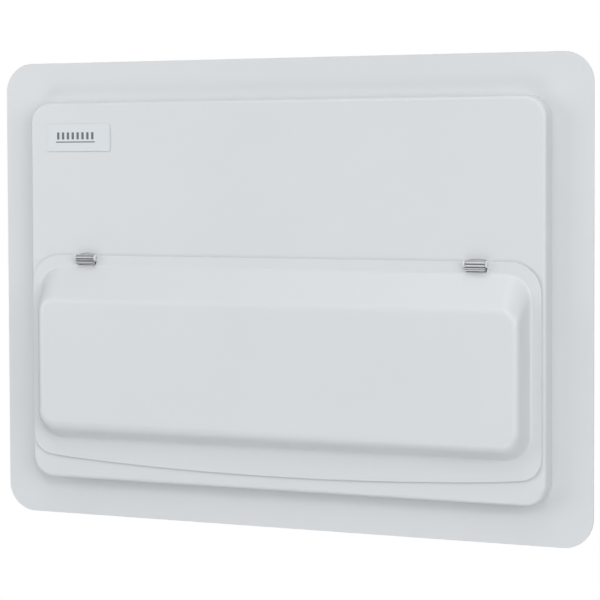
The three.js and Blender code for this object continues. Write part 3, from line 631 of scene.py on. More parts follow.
@dataclass(frozen=True)
class WallProfile:
    """How a pressed wall climbs from a plane: a concave foot, a straight slope, a rounded front edge."""

    rise: float
    slope_deg: float
    edge: float
    foot: float = 0.0

    def inset(self, height: float) -> float:
        """How far in from its foot line the wall has come at a height.

        Args:
            height: The height above the plane that it climbs from.

        Returns:
            The distance in.
        """
        slope = math.radians(self.slope_deg)
        below = self.rise - height
        if below < self.edge * (1 - math.cos(slope)):
            turned_by = math.acos(max(-1.0, min(1.0, 1 - below / self.edge)))
            return self.rise / math.tan(slope) + self.edge * (math.tan(slope / 2) - math.sin(turned_by))
        if height < self.foot * (1 - math.cos(slope)):
            turned_by = math.acos(max(-1.0, min(1.0, 1 - height / self.foot)))
            return self.foot * (math.sin(turned_by) - math.tan(slope / 2))
        return height / math.tan(slope)

    def offset(self, sheet: float) -> "WallProfile":
        """The inner face of a sheet that this wall is the outer face of."""
        return WallProfile(self.rise, self.slope_deg, self.edge - sheet, self.foot + sheet)

    def offset_inset(self, sheet: float) -> float:
        """How far in the inner face's foot line lies."""
        return sheet * math.tan(math.radians(self.slope_deg) / 2)

    def heights(self, steps: int) -> list[float]:
        """Heights from the front down that step the front edge and the foot evenly.

        Args:
            steps: How many steps each of the two has.

        Returns:
            The heights.
        """
        slope = math.radians(self.slope_deg)
        edge = [self.rise - self.edge * (1 - math.cos(slope * i / steps)) for i in range(steps + 1)]
        foot = [self.foot * (1 - math.cos(slope * i / steps)) for i in range(steps, -1, -1)]
        return edge + foot if self.foot > 0 else edge + [0.0]


class Axis(Enum):
    """The panel's axes."""

    ACROSS = 0
    UP = 1
    OUT = 2


def plate_edge(outline: Outline, z: Span, edge: float) -> list[Ring]:
    """The edge of a plate, with its front and back corners broken.

    Args:
        outline: The plate's outline.
        z: From and to out of the wall.
        edge: How far the corners are broken.

    Returns:
        Its rings, from the front to the back.
    """
    return [
        outline.inset(edge).at(z[1]),
        outline.inset(edge * EDGE_BEND).at(z[1] - edge * EDGE_BEND),
        outline.at(z[1] - edge),
        outline.at(z[0] + edge),
        outline.inset(edge).at(z[0]),
    ]


def slab(x: Span, y: Span, z: Span, corner: float, edge: float) -> Surface:
    """A plate or block with rounded corners and broken edges.

    Args:
        x: From and to across the panel.
        y: From and to up the panel.
        z: From and to out of the wall.
        corner: Radius of its four upright corners.
        edge: Size of the bevel round its front and back.

    Returns:
        The closed surface.
    """
    return loft(plate_edge(Outline(*x, *y, corner, corner, corner_steps=5, bottom_steps=2), z, edge))


def crisp(x: Span, y: Span, z: Span, corner: float) -> Surface:
    """A slab to cut or print with, whose front and back edges are hardly broken."""
    return slab(x, y, z, corner, CRISP_EDGE)


def turned(
    profile: Sequence[tuple[float, float]], axis: Axis, centre: Point, sides: int = 32, closed: bool = False
) -> Surface:
    """A turned shape round a line along one axis.

    Args:
        profile: Pairs of the distance along the axis from the centre, and the radius there.
        axis: The axis that it is turned round.
        centre: A point on that line.
        sides: How many flats make the round.
        closed: Whether the profile runs back to its start, as a ring's does; if not, the ends are capped.

    Returns:
        The closed surface.
    """
    first, second = [a for a in range(3) if a != axis.value]
    rings = []
    for along, radius in profile:
        ring = np.tile(np.array(centre, float), (sides, 1))
        angles = np.arange(sides) * (2 * math.pi / sides)
        ring[:, axis.value] += along
        ring[:, first] += radius * np.cos(angles)
        ring[:, second] += radius * np.sin(angles)
        rings.append(ring)
    return loft(rings, closed)


def drawn_out(section: Sequence[tuple[float, float]], x: Span, edge: float) -> Surface:
    """A section in the up-out plane, drawn out across the panel.

    Args:
        section: Its corners as pairs of up and out.
        x: From and to across the panel.
        edge: How far the two ends are drawn in, towards the section's middle, to break their edges.

    Returns:
        The closed surface.
    """
    flat = np.array(section, float)
    middle = flat.mean(axis=0)
    size = np.abs(flat - middle).max()
    small = middle + (flat - middle) * (1 - edge / size)
    ends = ((small, x[0]), (flat, x[0] + edge), (flat, x[1] - edge), (small, x[1]))
    return loft([np.column_stack([np.full(len(ring), across), ring]) for ring, across in ends])


def arc(centre: tuple[float, float], radius: float, start_deg: float, end_deg: float, steps: int) -> Section:
    """Points along an arc in the up-out plane.

    Args:
        centre: Its centre, as up and out.
        radius: Its radius.
        start_deg: The angle that it starts at, from up towards out.
        end_deg: The angle that it ends at.
        steps: How many straight steps it has.

    Returns:
        The points.
    """
    angles = [math.radians(start_deg + (end_deg - start_deg) * i / steps) for i in range(steps + 1)]
    return [(centre[0] + radius * math.cos(a), centre[1] + radius * math.sin(a)) for a in angles]


def numeral(text: str, centre: Point, height: float) -> Surface:
    """A raised number, lying in the panel's plane.

    Args:
        text: The characters.
        centre: The middle of its underside.
        height: The height of the type.

    Returns:
        The surface.
    """
    curve = bpy.data.curves.new("type", "FONT")
    curve.body = text
    curve.size = height
    curve.extrude = TYPE_DEPTH / 2
    curve.align_x = "CENTER"
    curve.align_y = "CENTER"
    curve.resolution_u = 3
    holder = placed("type", curve)
    mesh = bpy.data.meshes.new_from_object(holder.evaluated_get(bpy.context.evaluated_depsgraph_get()))
    corners = [tuple(v.co + Vector(centre) + Vector((0, 0, TYPE_DEPTH / 2))) for v in mesh.vertices]
    surface = Surface().add(corners, [tuple(p.vertices) for p in mesh.polygons])
    bpy.data.objects.remove(holder)
    bpy.data.curves.remove(curve)
    bpy.data.meshes.remove(mesh)
    return surface


def carve(made: bpy.types.Object, *blocks: Surface) -> bpy.types.Object:
    """Cuts surfaces out of an object, one after the other.

    Args:
        made: The object to cut.
        *blocks: The closed surfaces to take away.

    Returns:
        The same object.
    """
    for block in blocks:
        cutter = block.object("cutter", CUT_FACE)
        cut = made.modifiers.new("cut", "BOOLEAN")
        cut.operation = "DIFFERENCE"
        cut.solver = "EXACT"
        cut.use_self = True
        cut.object = cutter
        evaluated = made.evaluated_get(bpy.context.evaluated_depsgraph_get())
        mesh = bpy.data.meshes.new_from_object(evaluated)
        made.modifiers.clear()
        kept = made.data.materials[0]
        made.data = mesh
        mesh.materials.clear()
        mesh.materials.append(kept)
        smooth_between_edges(mesh)
        bpy.data.objects.remove(cutter)
    return made


def edged_copy(node: str, name: str, finish: Finish, edge: float = 0.3) -> bpy.types.Object:
    """A copy of a CAD node with its sharp edges broken.

    Args:
        node: The CAD node.
        name: The name of the new piece.
        finish: What it is made of.
        edge: The size of the rounding.

    Returns:
        The new object.
    """
    mesh = bpy.data.meshes.new(name)
    made = bmesh.new()
    made.from_mesh(bpy.data.objects[node].data)
    bmesh.ops.remove_doubles(made, verts=made.verts, dist=CAD_WELD)
    bmesh.ops.dissolve_limit(made, angle_limit=FLAT_ANGLE, verts=made.verts, edges=made.edges)
    bmesh.ops.recalc_face_normals(made, faces=made.faces)
    sharp = [e for e in made.edges if len(e.link_faces) == 2 and e.calc_face_angle() > SHARP_ANGLE]
    rounding = {"offset": edge * MM, "segments": 2, "profile": 0.5, "clamp_overlap": True}
    bmesh.ops.bevel(made, geom=sharp, affect="EDGES", **rounding)
    return finished(name, mesh, made, finish)


# ---------------------------------------------------------------- camera, light and floor


@dataclass(frozen=True)
class SoftBox:
    """A square soft box that faces the panel.

    Its strength is the light that it gives at the panel, as a share of what an even white surround gives.
    """

    name: str
    direction: Point
    distance_mm: float
    size_mm: float
    strength: float

    def hang(self) -> None:
        """Adds the light to the scene."""
        data = bpy.data.lights.new(self.name, "AREA")
        data.size = self.size_mm * MM
        data.energy = self.strength * (math.pi * self.distance_mm * MM) ** 2
        made = placed(self.name, data)
        heading = np.array(self.direction) / np.linalg.norm(self.direction)
        made.location = to_frame(np.array([heading * self.distance_mm]))[0]
        made.rotation_euler = (-Vector(made.location)).to_track_quat("-Z", "Y").to_euler()


@dataclass(frozen=True)
class Studio:
    """The camera at its viewing angle, a pale floor and soft white light."""

    place: Point = (425.0, 84.0, 1087.6)
    yaw_deg: float = 20.83
    pitch_deg: float = 1.95
    roll_deg: float = 0.22
    sensor_mm: float = 36.0
    lens_mm: float = 112.15
    shift_y: float = -0.1278
    clip_m: Span = (0.05, 50.0)
    floor_drop_mm: float = 1400.0
    floor_reach_mm: float = 1500.0
    fill: Span = (0.0, 0.48)
    fill_heights: Span = (-0.6, 0.9)
    fill_tint: str = "fafcff"
    soft_boxes: tuple[SoftBox, ...] = (
        SoftBox("key_box", (0.25, 0.47, 0.85), 2600.0, 600.0, 0.12),
        SoftBox("right_box", (0.75, 0.15, 0.65), 2500.0, 1600.0, 0.41),
        SoftBox("left_box", (-0.75, 0.15, 0.65), 2500.0, 1600.0, 0.29),
        SoftBox("top_box", (0.0, 0.8, 0.55), 2500.0, 1400.0, 0.16),
        SoftBox("low_box", (0.0, -0.7, 0.7), 2500.0, 1400.0, 0.3),
    )

    def camera(self, origin: Point) -> None:
        """Places the camera from a point on the object.

        Args:
            origin: The middle of the flush frame's front, in panel axes.
        """
        data = bpy.data.cameras.new("camera")
        data.sensor_width = self.sensor_mm
        data.lens = self.lens_mm
        data.shift_y = self.shift_y
        data.clip_start, data.clip_end = self.clip_m
        made = placed("camera", data)
        made.location = to_frame(np.array([[o + p for o, p in zip(origin, self.place)]]))[0]
        turns = (90 - self.pitch_deg, self.roll_deg, self.yaw_deg)
        made.rotation_euler = tuple(math.radians(turn) for turn in turns)
        bpy.context.scene.camera = made

    def light(self) -> None:
        """Adds the surround, which is brighter above than below, and the soft boxes."""
        world = bpy.data.worlds.new("surround")
        bpy.context.scene.world = world
        world.use_nodes = True
        tree = world.node_tree
        tree.nodes.clear()
        heading = add_node(tree, "ShaderNodeTexCoord").outputs["Generated"]
        height = add_node(tree, "ShaderNodeSeparateXYZ", {"Vector": heading}).outputs["Z"]
        low, high = self.fill_heights
        limits = {"From Min": low, "From Max": high, "To Min": self.fill[0], "To Max": self.fill[1]}
        fill = add_node(tree, "ShaderNodeMapRange", {"Value": height}, limits).outputs["Result"]
        tint = {"Color": srgb(self.fill_tint)}
        room = add_node(tree, "ShaderNodeBackground", {"Strength": fill}, tint).outputs["Background"]
        white = {"Color": srgb("ffffff"), "Strength": 1.0}
        backdrop = add_node(tree, "ShaderNodeBackground", values=white).outputs["Background"]
        seen = add_node(tree, "ShaderNodeLightPath").outputs["Is Camera Ray"]
        both = add_node(tree, "ShaderNodeMixShader", {0: seen, 1: room, 2: backdrop}).outputs["Shader"]
        add_node(tree, "ShaderNodeOutputWorld", {"Surface": both})
        for box in self.soft_boxes:
            box.hang()

    def floor(self) -> None:
        """Adds the pale floor, well below the panel."""
        low, _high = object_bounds()
        mesh = bpy.data.meshes.new("floor")
        reach = self.floor_reach_mm * MM
        level = low.z - self.floor_drop_mm * MM
        corners = [(x * reach, y * reach, level) for x, y in ((-1, -1), (1, -1), (1, 1), (-1, 1))]
        mesh.from_pydata(corners, [], [(0, 1, 2, 3)])
        made = placed("floor", mesh)
        mesh.materials.append(material_of(FLOOR_PAPER))
        made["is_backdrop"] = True


# ---------------------------------------------------------------- fitting pieces to the frame


@dataclass
class Fitter:
    """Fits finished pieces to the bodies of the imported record."""

    record: dict

    def body_of(self, node: str) -> str:
        """The body that a CAD node moves with."""
        return next(body for body, nodes in self.record["behaviour"]["bodies"].items() if node in nodes)

    def slot_of(self, node: str) -> str:
        """The material slot of a CAD node."""
        return next(part["material_slot"] for part in self.record["subparts"] if part["node"] == node)

    def stand_for(self, made: bpy.types.Object, *nodes: str) -> None:
        """Makes a piece take the place of CAD nodes on one body."""
        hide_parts(*nodes)
        self.add_to(made, nodes[0])

    def add_to(self, made: bpy.types.Object, node: str, slot: Optional[str] = None) -> None:
        """Makes a piece move with a CAD node's body.

        Args:
            made: The piece.
            node: The CAD node that it belongs to.
            slot: Its material slot, where that isn't the node's; not used.
        """
        flatten = made.modifiers.new("flat_faces", "WEIGHTED_NORMAL")
        flatten.keep_sharp = True
        flatten.weight = 100
        slot or self.slot_of(node)
        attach(made, self.body_of(node))
        log.info("%s moves with %s", made.name, self.body_of(node))


class SubAssembly:
    """A part of the unit that builds its own meshes."""

    def dress(self, fitter: Fitter) -> None:
        """Builds the part's meshes and fits them.

        Args:
            fitter: What joins a mesh to its body, in place of the CAD nodes that it replaces.
        """
        raise NotImplementedError


# ---------------------------------------------------------------- pressed sheet


@dataclass
class FlushFrame(SubAssembly):
    """The flat frame that covers the edge of the recess, set back over the box's lip."""

    corner: float = 18.5
    edge: float = 0.35
    mouth_inset: float = 7.7
    mouth_corner: float = 3.0
    relief_depth: float = 0.3
    relief_margin: float = 0.5

    def dress(self, fitter: Fitter) -> None:
        """Builds the frame with softly broken edges and fits it."""
        box = PanelBox.of("flush_frame")
        over_box = Outline.of(PanelBox.of("back_box"), self.mouth_corner)
        mouth = over_box.inset(self.mouth_inset)
        relief = over_box.inset(-self.relief_margin)
        recess = box.back + self.relief_depth
        rings = [
            mouth.at(box.front),
            *plate_edge(Outline.of(box, self.corner), box.out, self.edge),
            relief.at(box.back),
            relief.at(recess),
            mouth.at(recess),
        ]
        fitter.stand_for(loft(rings, closed=True).object("flush_frame_coated", WHITE_COAT), "flush_frame")


@dataclass
class FrontCover(SubAssembly):
    """The pressed cover with its device window, hinge slots and screw holes."""

    sheet: float = 1.2
    corner: float = 13.5
    edge: float = 2.5
    edge_steps: int = 8
    edge_flat: float = 0.4
    hem: float = 0.25
    window_corner: float = 0.8
    window_clear: float = 0.65
    nose_height: float = 45.0
    nose_clear: float = 0.5
    slot_half_width: float = 6.6
    slot_height: float = 2.1
    slot_clear: float = 0.6
    slot_corner: float = 0.3
    hole_radius: float = 2.15
    relief_half_width: float = 6.4
    relief_height: float = 1.1
    relief_depth: float = 0.9
    relief_lap: float = 0.1
    relief_foot: float = 1.0
    relief_steps: int = 13

    def window(self) -> Outline:
        """The outline of the window round the row of devices."""
        first, last = PanelBox.of("blank_plate"), PanelBox.of("main_switch_body")
        x = (first.left - self.window_clear, last.right + self.window_clear)
        y = about(last.middle[1], self.nose_height / 2 + self.nose_clear)
        return Outline(*x, *y, self.window_corner, self.window_corner)

    def sheet_metal(self, box: PanelBox) -> Surface:
        """The cover as one sheet, turned over at its edges and its window.

        Args:
            box: The cover's box.

        Returns:
            The closed surface, before its slots and holes.
        """
        window = self.window()
        outline = Outline.of(box, self.corner)
        depth = box.front - box.back
        outer = WallProfile(depth, 90.0, self.edge)
        inner = WallProfile(depth - self.sheet, 90.0, self.edge - self.sheet)
        rings = [window.at(box.front), outline.inset(self.edge + self.edge_flat).at(box.front)]
        for height in outer.heights(self.edge_steps)[:-1]:
            rings.append(outline.inset(outer.inset(height)).at(box.back + height))
        rings.append(outline.at(box.back + self.hem))
        rings += [outline.inset(by).at(box.back) for by in (self.hem, self.sheet)]
        for height in reversed(inner.heights(self.edge_steps)[:-1]):
            rings.append(outline.inset(self.sheet + inner.inset(height)).at(box.back + height))
        rings.append(window.at(box.front - self.sheet))
        return loft(rings, closed=True)

    def hinge_relief(self, clip: PanelBox, face: float) -> Surface:
        """The crescent pressed in over a knuckle, as a block that cuts it.

        Args:
            clip: The hinge clip's box.
            face: The cover's front.

        Returns:
            The block.
        """
        x, half = clip.middle[0], self.relief_half_width
        points = [
            (x + half * t, clip.top - self.relief_lap + self.relief_height * (1 - t * t))
            for t in np.linspace(1, -1, self.relief_steps)
        ]
        points += [(end, clip.top - self.relief_foot) for end in about(x, half)]
        depths = (face + self.sheet, face - self.relief_depth)
        return loft([np.array([(a, b, depth) for a, b in points]) for depth in depths])

    def openings(self, box: PanelBox) -> Surface:
        """The cuts for the hinge leaves and the cover's screws, and the reliefs over the knuckles.

        Args:
            box: The cover's box.

        Returns:
            All the blocks that cut them.
        """
        through = (-2 * self.sheet, self.sheet)
        z = (box.front + through[0], box.front + through[1])
        blocks = []
        for side in SIDES:
            clip = PanelBox.of(f"hinge_clip_{side}")
            leaf = clip.top - 2 * KNUCKLE_RADIUS - KNUCKLE_DROP - self.slot_clear
            x = about(clip.middle[0], self.slot_half_width)
            blocks.append(crisp(x, span_from(leaf, self.slot_height), z, self.slot_corner))
            blocks.append(self.hinge_relief(clip, box.front))
            screw = PanelBox.of(f"cover_screw_{side}").middle
            hole = [(along, self.hole_radius) for along in through]
            blocks.append(turned(hole, Axis.OUT, (screw[0], screw[1], box.front)))
        return together(*blocks)

    def dress(self, fitter: Fitter) -> None:
        """Builds the cover, cuts its openings and fits it."""
        box = PanelBox.of("front_cover")
        cover = self.sheet_metal(box).object("front_cover_coated", WHITE_COAT)
        fitter.stand_for(carve(cover, self.openings(box)), "front_cover")


@dataclass
class Lid(SubAssembly):
    """The hinged lid: a thin rim round a bulge that clears the switches."""

    sheet: float = 1.2
    top_corner: float = 19.0
    bottom_corner: float = 14.0
    bow_radius: float = 2120.0
    clearance: float = 0.6
    rim_side: float = 6.6
    rim_top: float = 7.3
    rim_bottom: float = 18.2
    rim_edge: float = 0.3
    bulge_corner: float = 15.0
    side: WallProfile = WallProfile(15.4, 75.0, 6.0, 2.2)
    top: WallProfile = WallProfile(15.4, 37.0, 8.0, 2.2)
    bottom: WallProfile = WallProfile(15.4, 65.0, 8.0, 2.2)
    steps: int = 10
    hinge_gap: float = 0.3
    notch_clear: float = 0.6
    notch_corner: float = 0.5
    notch_above: float = 2.0
    ear_width: float = 1.2
    ear_edge: float = 0.15
    ear_start_deg: float = -44.4
    ear_steps: int = 20

    def bulge(self, rim: Outline, height: float, depth: float, sheet: float) -> Ring:
        """One ring of the bulge.

        Args:
            rim: The rim's outline.
            height: The ring's height above the rim.
            depth: Where the rim's face lies.
            sheet: The sheet's thickness for the inner face; none for the outer one.

        Returns:
            The ring.
        """
        x = (rim.left + self.rim_side, rim.right - self.rim_side)
        y = (rim.bottom + self.rim_bottom, rim.top - self.rim_top)
        foot = Outline(*x, *y, self.bulge_corner, self.bulge_corner)

        def reach(wall: WallProfile) -> float:
            """How far in a wall has come at this height."""
            if sheet == 0:
                return wall.inset(height)
            return wall.offset_inset(sheet) + wall.offset(sheet).inset(height)

        return foot.reach(reach(self.side), reach(self.top), reach(self.bottom)).at(depth + height)

    def pressing(self) -> Surface:
        """The pressed sheet, from its front over the rim to its inside.

        Returns:
            The closed surface, before its notches.
        """
        box = PanelBox.of("lid")
        back = PanelBox.of("front_cover").front + self.clearance
        front = back + self.sheet
        top = PanelBox.of("hinge_clip_left").top - KNUCKLE_RADIUS + RIM_ABOVE_AXIS
        rim = Outline(*box.across, box.bottom, top, self.top_corner, self.bottom_corner, self.bow_radius)
        inner_heights = self.side.offset(self.sheet).heights(self.steps)
        rings = [self.bulge(rim, h, front, 0) for h in self.side.heights(self.steps)]
        rings.append(rim.inset(2 * self.rim_edge).at(front))
        rings += plate_edge(rim, (back, front), self.rim_edge)
        rings += [self.bulge(rim, h, back, self.sheet) for h in reversed(inner_heights)]
        return loft(rings)

    def notch(self, clip: PanelBox) -> Surface:
        """The block that cuts the rim clear of a knuckle.

        Args:
            clip: The hinge clip's box.

        Returns:
            The block.
        """
        x = about(clip.middle[0], clip.width / 2 + self.hinge_gap)
        low = clip.top - 2 * KNUCKLE_RADIUS - KNUCKLE_DROP - self.notch_clear
        back = clip.front - KNUCKLE_RADIUS - HINGE_AXIS_BACK
        return crisp(x, (low, clip.top + self.notch_above), (back - OVERRUN, clip.front), self.notch_corner)

    def ears(self, clip: PanelBox) -> Surface:
        """The two ears that carry a pin, standing on the rim.

        Args:
            clip: The hinge clip's box.

        Returns:
            Both ears.
        """
        up, out = clip.top - KNUCKLE_RADIUS, clip.front - KNUCKLE_RADIUS
        section = [(up + rise, out - HINGE_AXIS_BACK) for rise in (-KNUCKLE_RADIUS, RIM_ABOVE_AXIS)]
        section += arc((up, out), KNUCKLE_RADIUS, self.ear_start_deg, 180.0, self.ear_steps)
        ears = []
        for side in (-1, 1):
            near = clip.middle[0] + side * (clip.width / 2 + self.hinge_gap)
            x = tuple(sorted((near, near + side * self.ear_width)))
            ears.append(drawn_out(section, x, self.ear_edge))
        return together(*ears)

    def dress(self, fitter: Fitter) -> None:
        """Builds the lid with its notches and ears, and fits it."""
        clips = [PanelBox.of(f"hinge_clip_{side}") for side in SIDES]
        lid = self.pressing().object("lid_coated", WHITE_COAT)
        fitter.stand_for(carve(lid, together(*(self.notch(clip) for clip in clips))), "lid")
        ears = together(*(self.ears(clip) for clip in clips))
        fitter.add_to(ears.object("lid_hinge_ears", WHITE_COAT), "lid")


@dataclass
class Hinge(SubAssembly):
    """A steel leaf curled round a pin: a round knuckle over a rolled bead."""

    side: str
    sheet: float = 0.9
    leaf_length: float = 13.0
    leaf_edge: float = 0.12
    knuckle_deg: Span = (-120.0, 152.0)
    bead_deg: Span = (8.0, 180.0)
    bead_radius: float = 1.12
    bead_out: float = 0.55
    tongue: float = 1.4
    pin_radius: float = 1.0
    pin_head: tuple[Span, ...] = ((0.25, 1.0), (0.08, 0.85), (0.0, 0.45))

    def clip(self) -> bpy.types.Object:
        """The curled leaf, drawn from its section.

        Returns:
            The new object.
        """
        box = PanelBox.of(f"hinge_clip_{self.side}")
        up, out = box.top - KNUCKLE_RADIUS, box.front - KNUCKLE_RADIUS
        under = up - KNUCKLE_RADIUS - KNUCKLE_DROP
        bead = (under + self.bead_radius, out + self.bead_out)
        leaf = box.back + self.sheet
        section = [
            *arc((up, out), KNUCKLE_RADIUS, *self.knuckle_deg, steps=28),
            *arc(bead, self.bead_radius, *self.bead_deg, steps=16),
            (under, leaf),
            (under - self.leaf_length, leaf),
            (under - self.leaf_length, box.back),
            (under + self.sheet, box.back),
            (under + self.sheet, out - self.tongue),
        ]
        curled = drawn_out(section, box.across, self.leaf_edge)
        return curled.object(f"hinge_clip_{self.side}_curled", BRIGHT_ZINC)

    def pin(self) -> bpy.types.Object:
        """The pin, with a domed head at each end.

        Returns:
            The new object.
        """
        box = PanelBox.of(f"hinge_pin_{self.side}")
        head = [(box.width / 2 - back, share * self.pin_radius) for back, share in self.pin_head]
        profile = [(-along, radius) for along, radius in reversed(head)] + head
        pin = turned(profile, Axis.ACROSS, box.middle, sides=24)
        return pin.object(f"hinge_pin_{self.side}_headed", BRIGHT_ZINC)

    def dress(self, fitter: Fitter) -> None:
        """Fits the leaf to the cover and the pin to the lid."""
        fitter.stand_for(self.clip(), f"hinge_clip_{self.side}")
        fitter.stand_for(self.pin(), f"hinge_pin_{self.side}")


# ---------------------------------------------------------------- labels


@dataclass
class Badge(SubAssembly):
    """A film label with a plain printed sign: a row of modules over a line."""

    corner: float = 1.5
    modules: int = 8
    pitch: float = 3.5
    bar: float = 1.7
    bar_corner: float = 0.3
    height: float = 4.6
    line: float = 0.7
    line_corner: float = 0.1
    aside: float = 2.5
    foot: float = 1.2
    line_below: float = 3.2

    def dress(self, fitter: Fitter) -> None:
        """Builds the film and its print, and fits them."""
        box = PanelBox.of("badge")
        film = slab(box.across, box.up, box.out, self.corner, FILM_EDGE)
        fitter.stand_for(film.object("badge_film", BADGE_FILM), "badge")
        x, y = box.middle[0] - self.aside, box.middle[1]
        z = span_from(box.front, PRINT_DEPTH)
        tall = span_from(y - self.foot, self.height)
        places = [x + (i - (self.modules - 1) / 2) * self.pitch for i in range(self.modules)]
        bars = [crisp(about(place, self.bar / 2), tall, z, self.bar_corner) for place in places]
        thin = span_from(y - self.line_below, self.line)
        rule = crisp(about(x, self.modules * self.pitch / 2), thin, z, self.line_corner)
        fitter.add_to(together(*bars, rule).object("badge_print", BADGE_INK), "badge")


@dataclass
class CircuitLabel(SubAssembly):
    """The strip below the devices, ruled into a cell for each module, with the circuits' numbers."""

    corner: float = 0.4
    rule: float = 0.25
    rule_corner: float = 0.02
    margin: float = 1.2
    end_margin: float = 1.0
    type_height: float = 5.5
    modules: int = 16
    first_breaker: int = 4
    breakers: int = 8

    def dress(self, fitter: Fitter) -> None:
        """Builds the strip and its print, and fits them."""
        box = PanelBox.of("circuit_label_strip")
        film = slab(box.across, box.up, box.out, self.corner, FILM_EDGE)
        fitter.stand_for(film.object("circuit_label_film", LABEL_FILM), "circuit_label_strip")
        z = span_from(box.front, PRINT_DEPTH)
        pitch = box.width / self.modules
        x = (box.left + self.end_margin, box.right - self.end_margin)
        y = (box.bottom + self.margin, box.top - self.margin)
        uprights = [about(box.left + i * pitch, self.rule / 2) for i in range(1, self.modules)]
        printed = [crisp(upright, y, z, self.rule_corner) for upright in uprights]
        printed += [crisp(x, span_from(level, self.rule), z, self.rule_corner) for level in y]
        for number in range(self.breakers):
            middle = box.left + (self.first_breaker + number + 0.5) * pitch
            printed.append(numeral(str(number + 1), (middle, box.middle[1], box.front), self.type_height))
        fitter.add_to(together(*printed).object("circuit_label_print", BADGE_INK), "circuit_label_strip")


# ---------------------------------------------------------------- screws


@dataclass
class PanScrew(SubAssembly):
    """A zinc-plated pan-head screw with a cross recess and a rolled thread.

    Its node's front is the head's top. The radii of the point, the thread's root, the neck and the seat, the
    flat of the head and the arm of the cross are shares of the shank's or the head's radius.
    """

    node: str
    shank: float
    head: float
    thickness: float
    length: float
    thread_pitch: float = 0.8
    plain: float = 0.6
    bare: float = 1.5
    point: float = 0.5
    root: float = 0.8
    neck: float = 0.85
    seat: float = 0.96
    seat_edge: float = 0.15
    flat: float = 0.35
    arm: float = 0.62
    dome_points: int = 7
    recess_width: float = 0.8
    recess_corner: float = 0.1

    def profile(self) -> Section:
        """The screw's profile along its axis, from the point to the top of the head.

        Returns:
            Pairs of the distance from the seat and the radius there.
        """
        points = [(-self.length, self.point * self.shank)]
        for turn in range(int((self.length - self.bare) / self.thread_pitch)):
            along = -self.length + self.plain + turn * self.thread_pitch
            points += [(along, self.root * self.shank), (along + self.thread_pitch / 2, self.shank)]
        points += [(-self.plain, self.neck * self.shank), (0.0, self.neck * self.shank)]
        points += [(0.0, self.seat * self.head), (self.seat_edge, self.head)]
        dome = 1 - self.flat
        for t in np.linspace(0, math.pi / 2, self.dome_points):
            along, radius = self.flat + dome * math.sin(t), self.flat + dome * math.cos(t)
            points.append((self.thickness * along, self.head * radius))
        return points

    def dress(self, fitter: Fitter) -> None:
        """Turns the screw, cuts its recess and fits it."""
        box = PanelBox.of(self.node)
        x, y, _ = box.middle
        seat = box.front - self.thickness
        screw = turned(self.profile(), Axis.OUT, (x, y, seat)).object(f"{self.node}_pan_head", BRIGHT_ZINC)
        arm, half = self.arm * self.head, self.recess_width / 2
        z = (seat + self.flat * self.thickness, box.front + OVERRUN)
        arms = ((arm, half), (half, arm))
        cross = [crisp(about(x, a), about(y, b), z, self.recess_corner) for a, b in arms]
        fitter.stand_for(carve(screw, *cross), self.node)


def slotted_heads(
    name: str, box: PanelBox, places: Iterable[float], profile: Section, sides: int, slot: float, z: Span
) -> bpy.types.Object:
    """A row of slotted screw heads on a part's front.

    Args:
        name: The new piece's name.
        box: The part's box.
        places: Where the screws stand across the panel.
        profile: A head's profile, out from the part's front.
        sides: How many flats make a head's round.
        slot: The slot's width.
        z: From and to out of the wall, where the slot is cut.

    Returns:
        The heads, as one object.
    """
    y = box.middle[1]
    heads = [turned(profile, Axis.OUT, (x, y, box.front), sides) for x in places]
    made = together(*heads).object(name, BRIGHT_ZINC)
    return carve(made, crisp(box.across, about(y, slot / 2), z, SLOT_CORNER))


# ---------------------------------------------------------------- the box in the wall


@dataclass
class BackBox(SubAssembly):
    """The folded galvanised box, with knock-outs punched part of the way through its walls."""

    groove: float = 0.8
    depth: float = 0.55
    small: float = 10.2
    large: float = 12.7
    rear_up: float = 12.0
    rear_across: tuple[float, ...] = (-96.0, 0.0, 96.0)
    bottom_across: tuple[float, ...] = (-120.0, -60.0, 0.0, 60.0, 120.0)
    side_up: tuple[float, ...] = (-70.0, 0.0, 70.0)

    def ring(self, axis: Axis, centre: Point, radius: float, inwards: int = 1) -> Surface:
        """The groove round one knock-out.

        Args:
            axis: The axis that the wall faces along.
            centre: The knock-out's middle, on the wall's outside.
            radius: The groove's middle radius.
            inwards: Which way along the axis leads into the wall.

        Returns:
            The ring that cuts it.
        """
        start, end = -inwards * OVERRUN, inwards * self.depth
        outer, inner = radius + self.groove / 2, radius - self.groove / 2
        profile = [(start, outer), (end, outer), (end, inner), (start, inner)]
        return turned(profile, axis, centre, sides=40, closed=True)

    def dress(self, fitter: Fitter) -> None:
        """Builds the box with its knock-outs and fits it."""
        box = PanelBox.of("back_box")
        made = edged_copy("back_box", "back_box_galvanised", GALVANISED)
        z = box.middle[2]
        rings = [self.ring(Axis.OUT, (x, self.rear_up, box.back), self.large) for x in self.rear_across]
        rings += [self.ring(Axis.UP, (x, box.bottom, z), self.small) for x in self.bottom_across]
        for y in self.side_up:
            rings.append(self.ring(Axis.ACROSS, (box.left, y, z), self.large))
            rings.append(self.ring(Axis.ACROSS, (box.right, y, z), self.large, -1))
        fitter.stand_for(carve(made, together(*rings)), "back_box")


# ---------------------------------------------------------------- switchgear


class Duty(Enum):
    """What a device in the row does, with the number printed on its nose."""

    RING = "32"
    SOCKET = "20"
    RADIAL = "16"
    LIGHT = "6"
    ISOLATOR = "100"


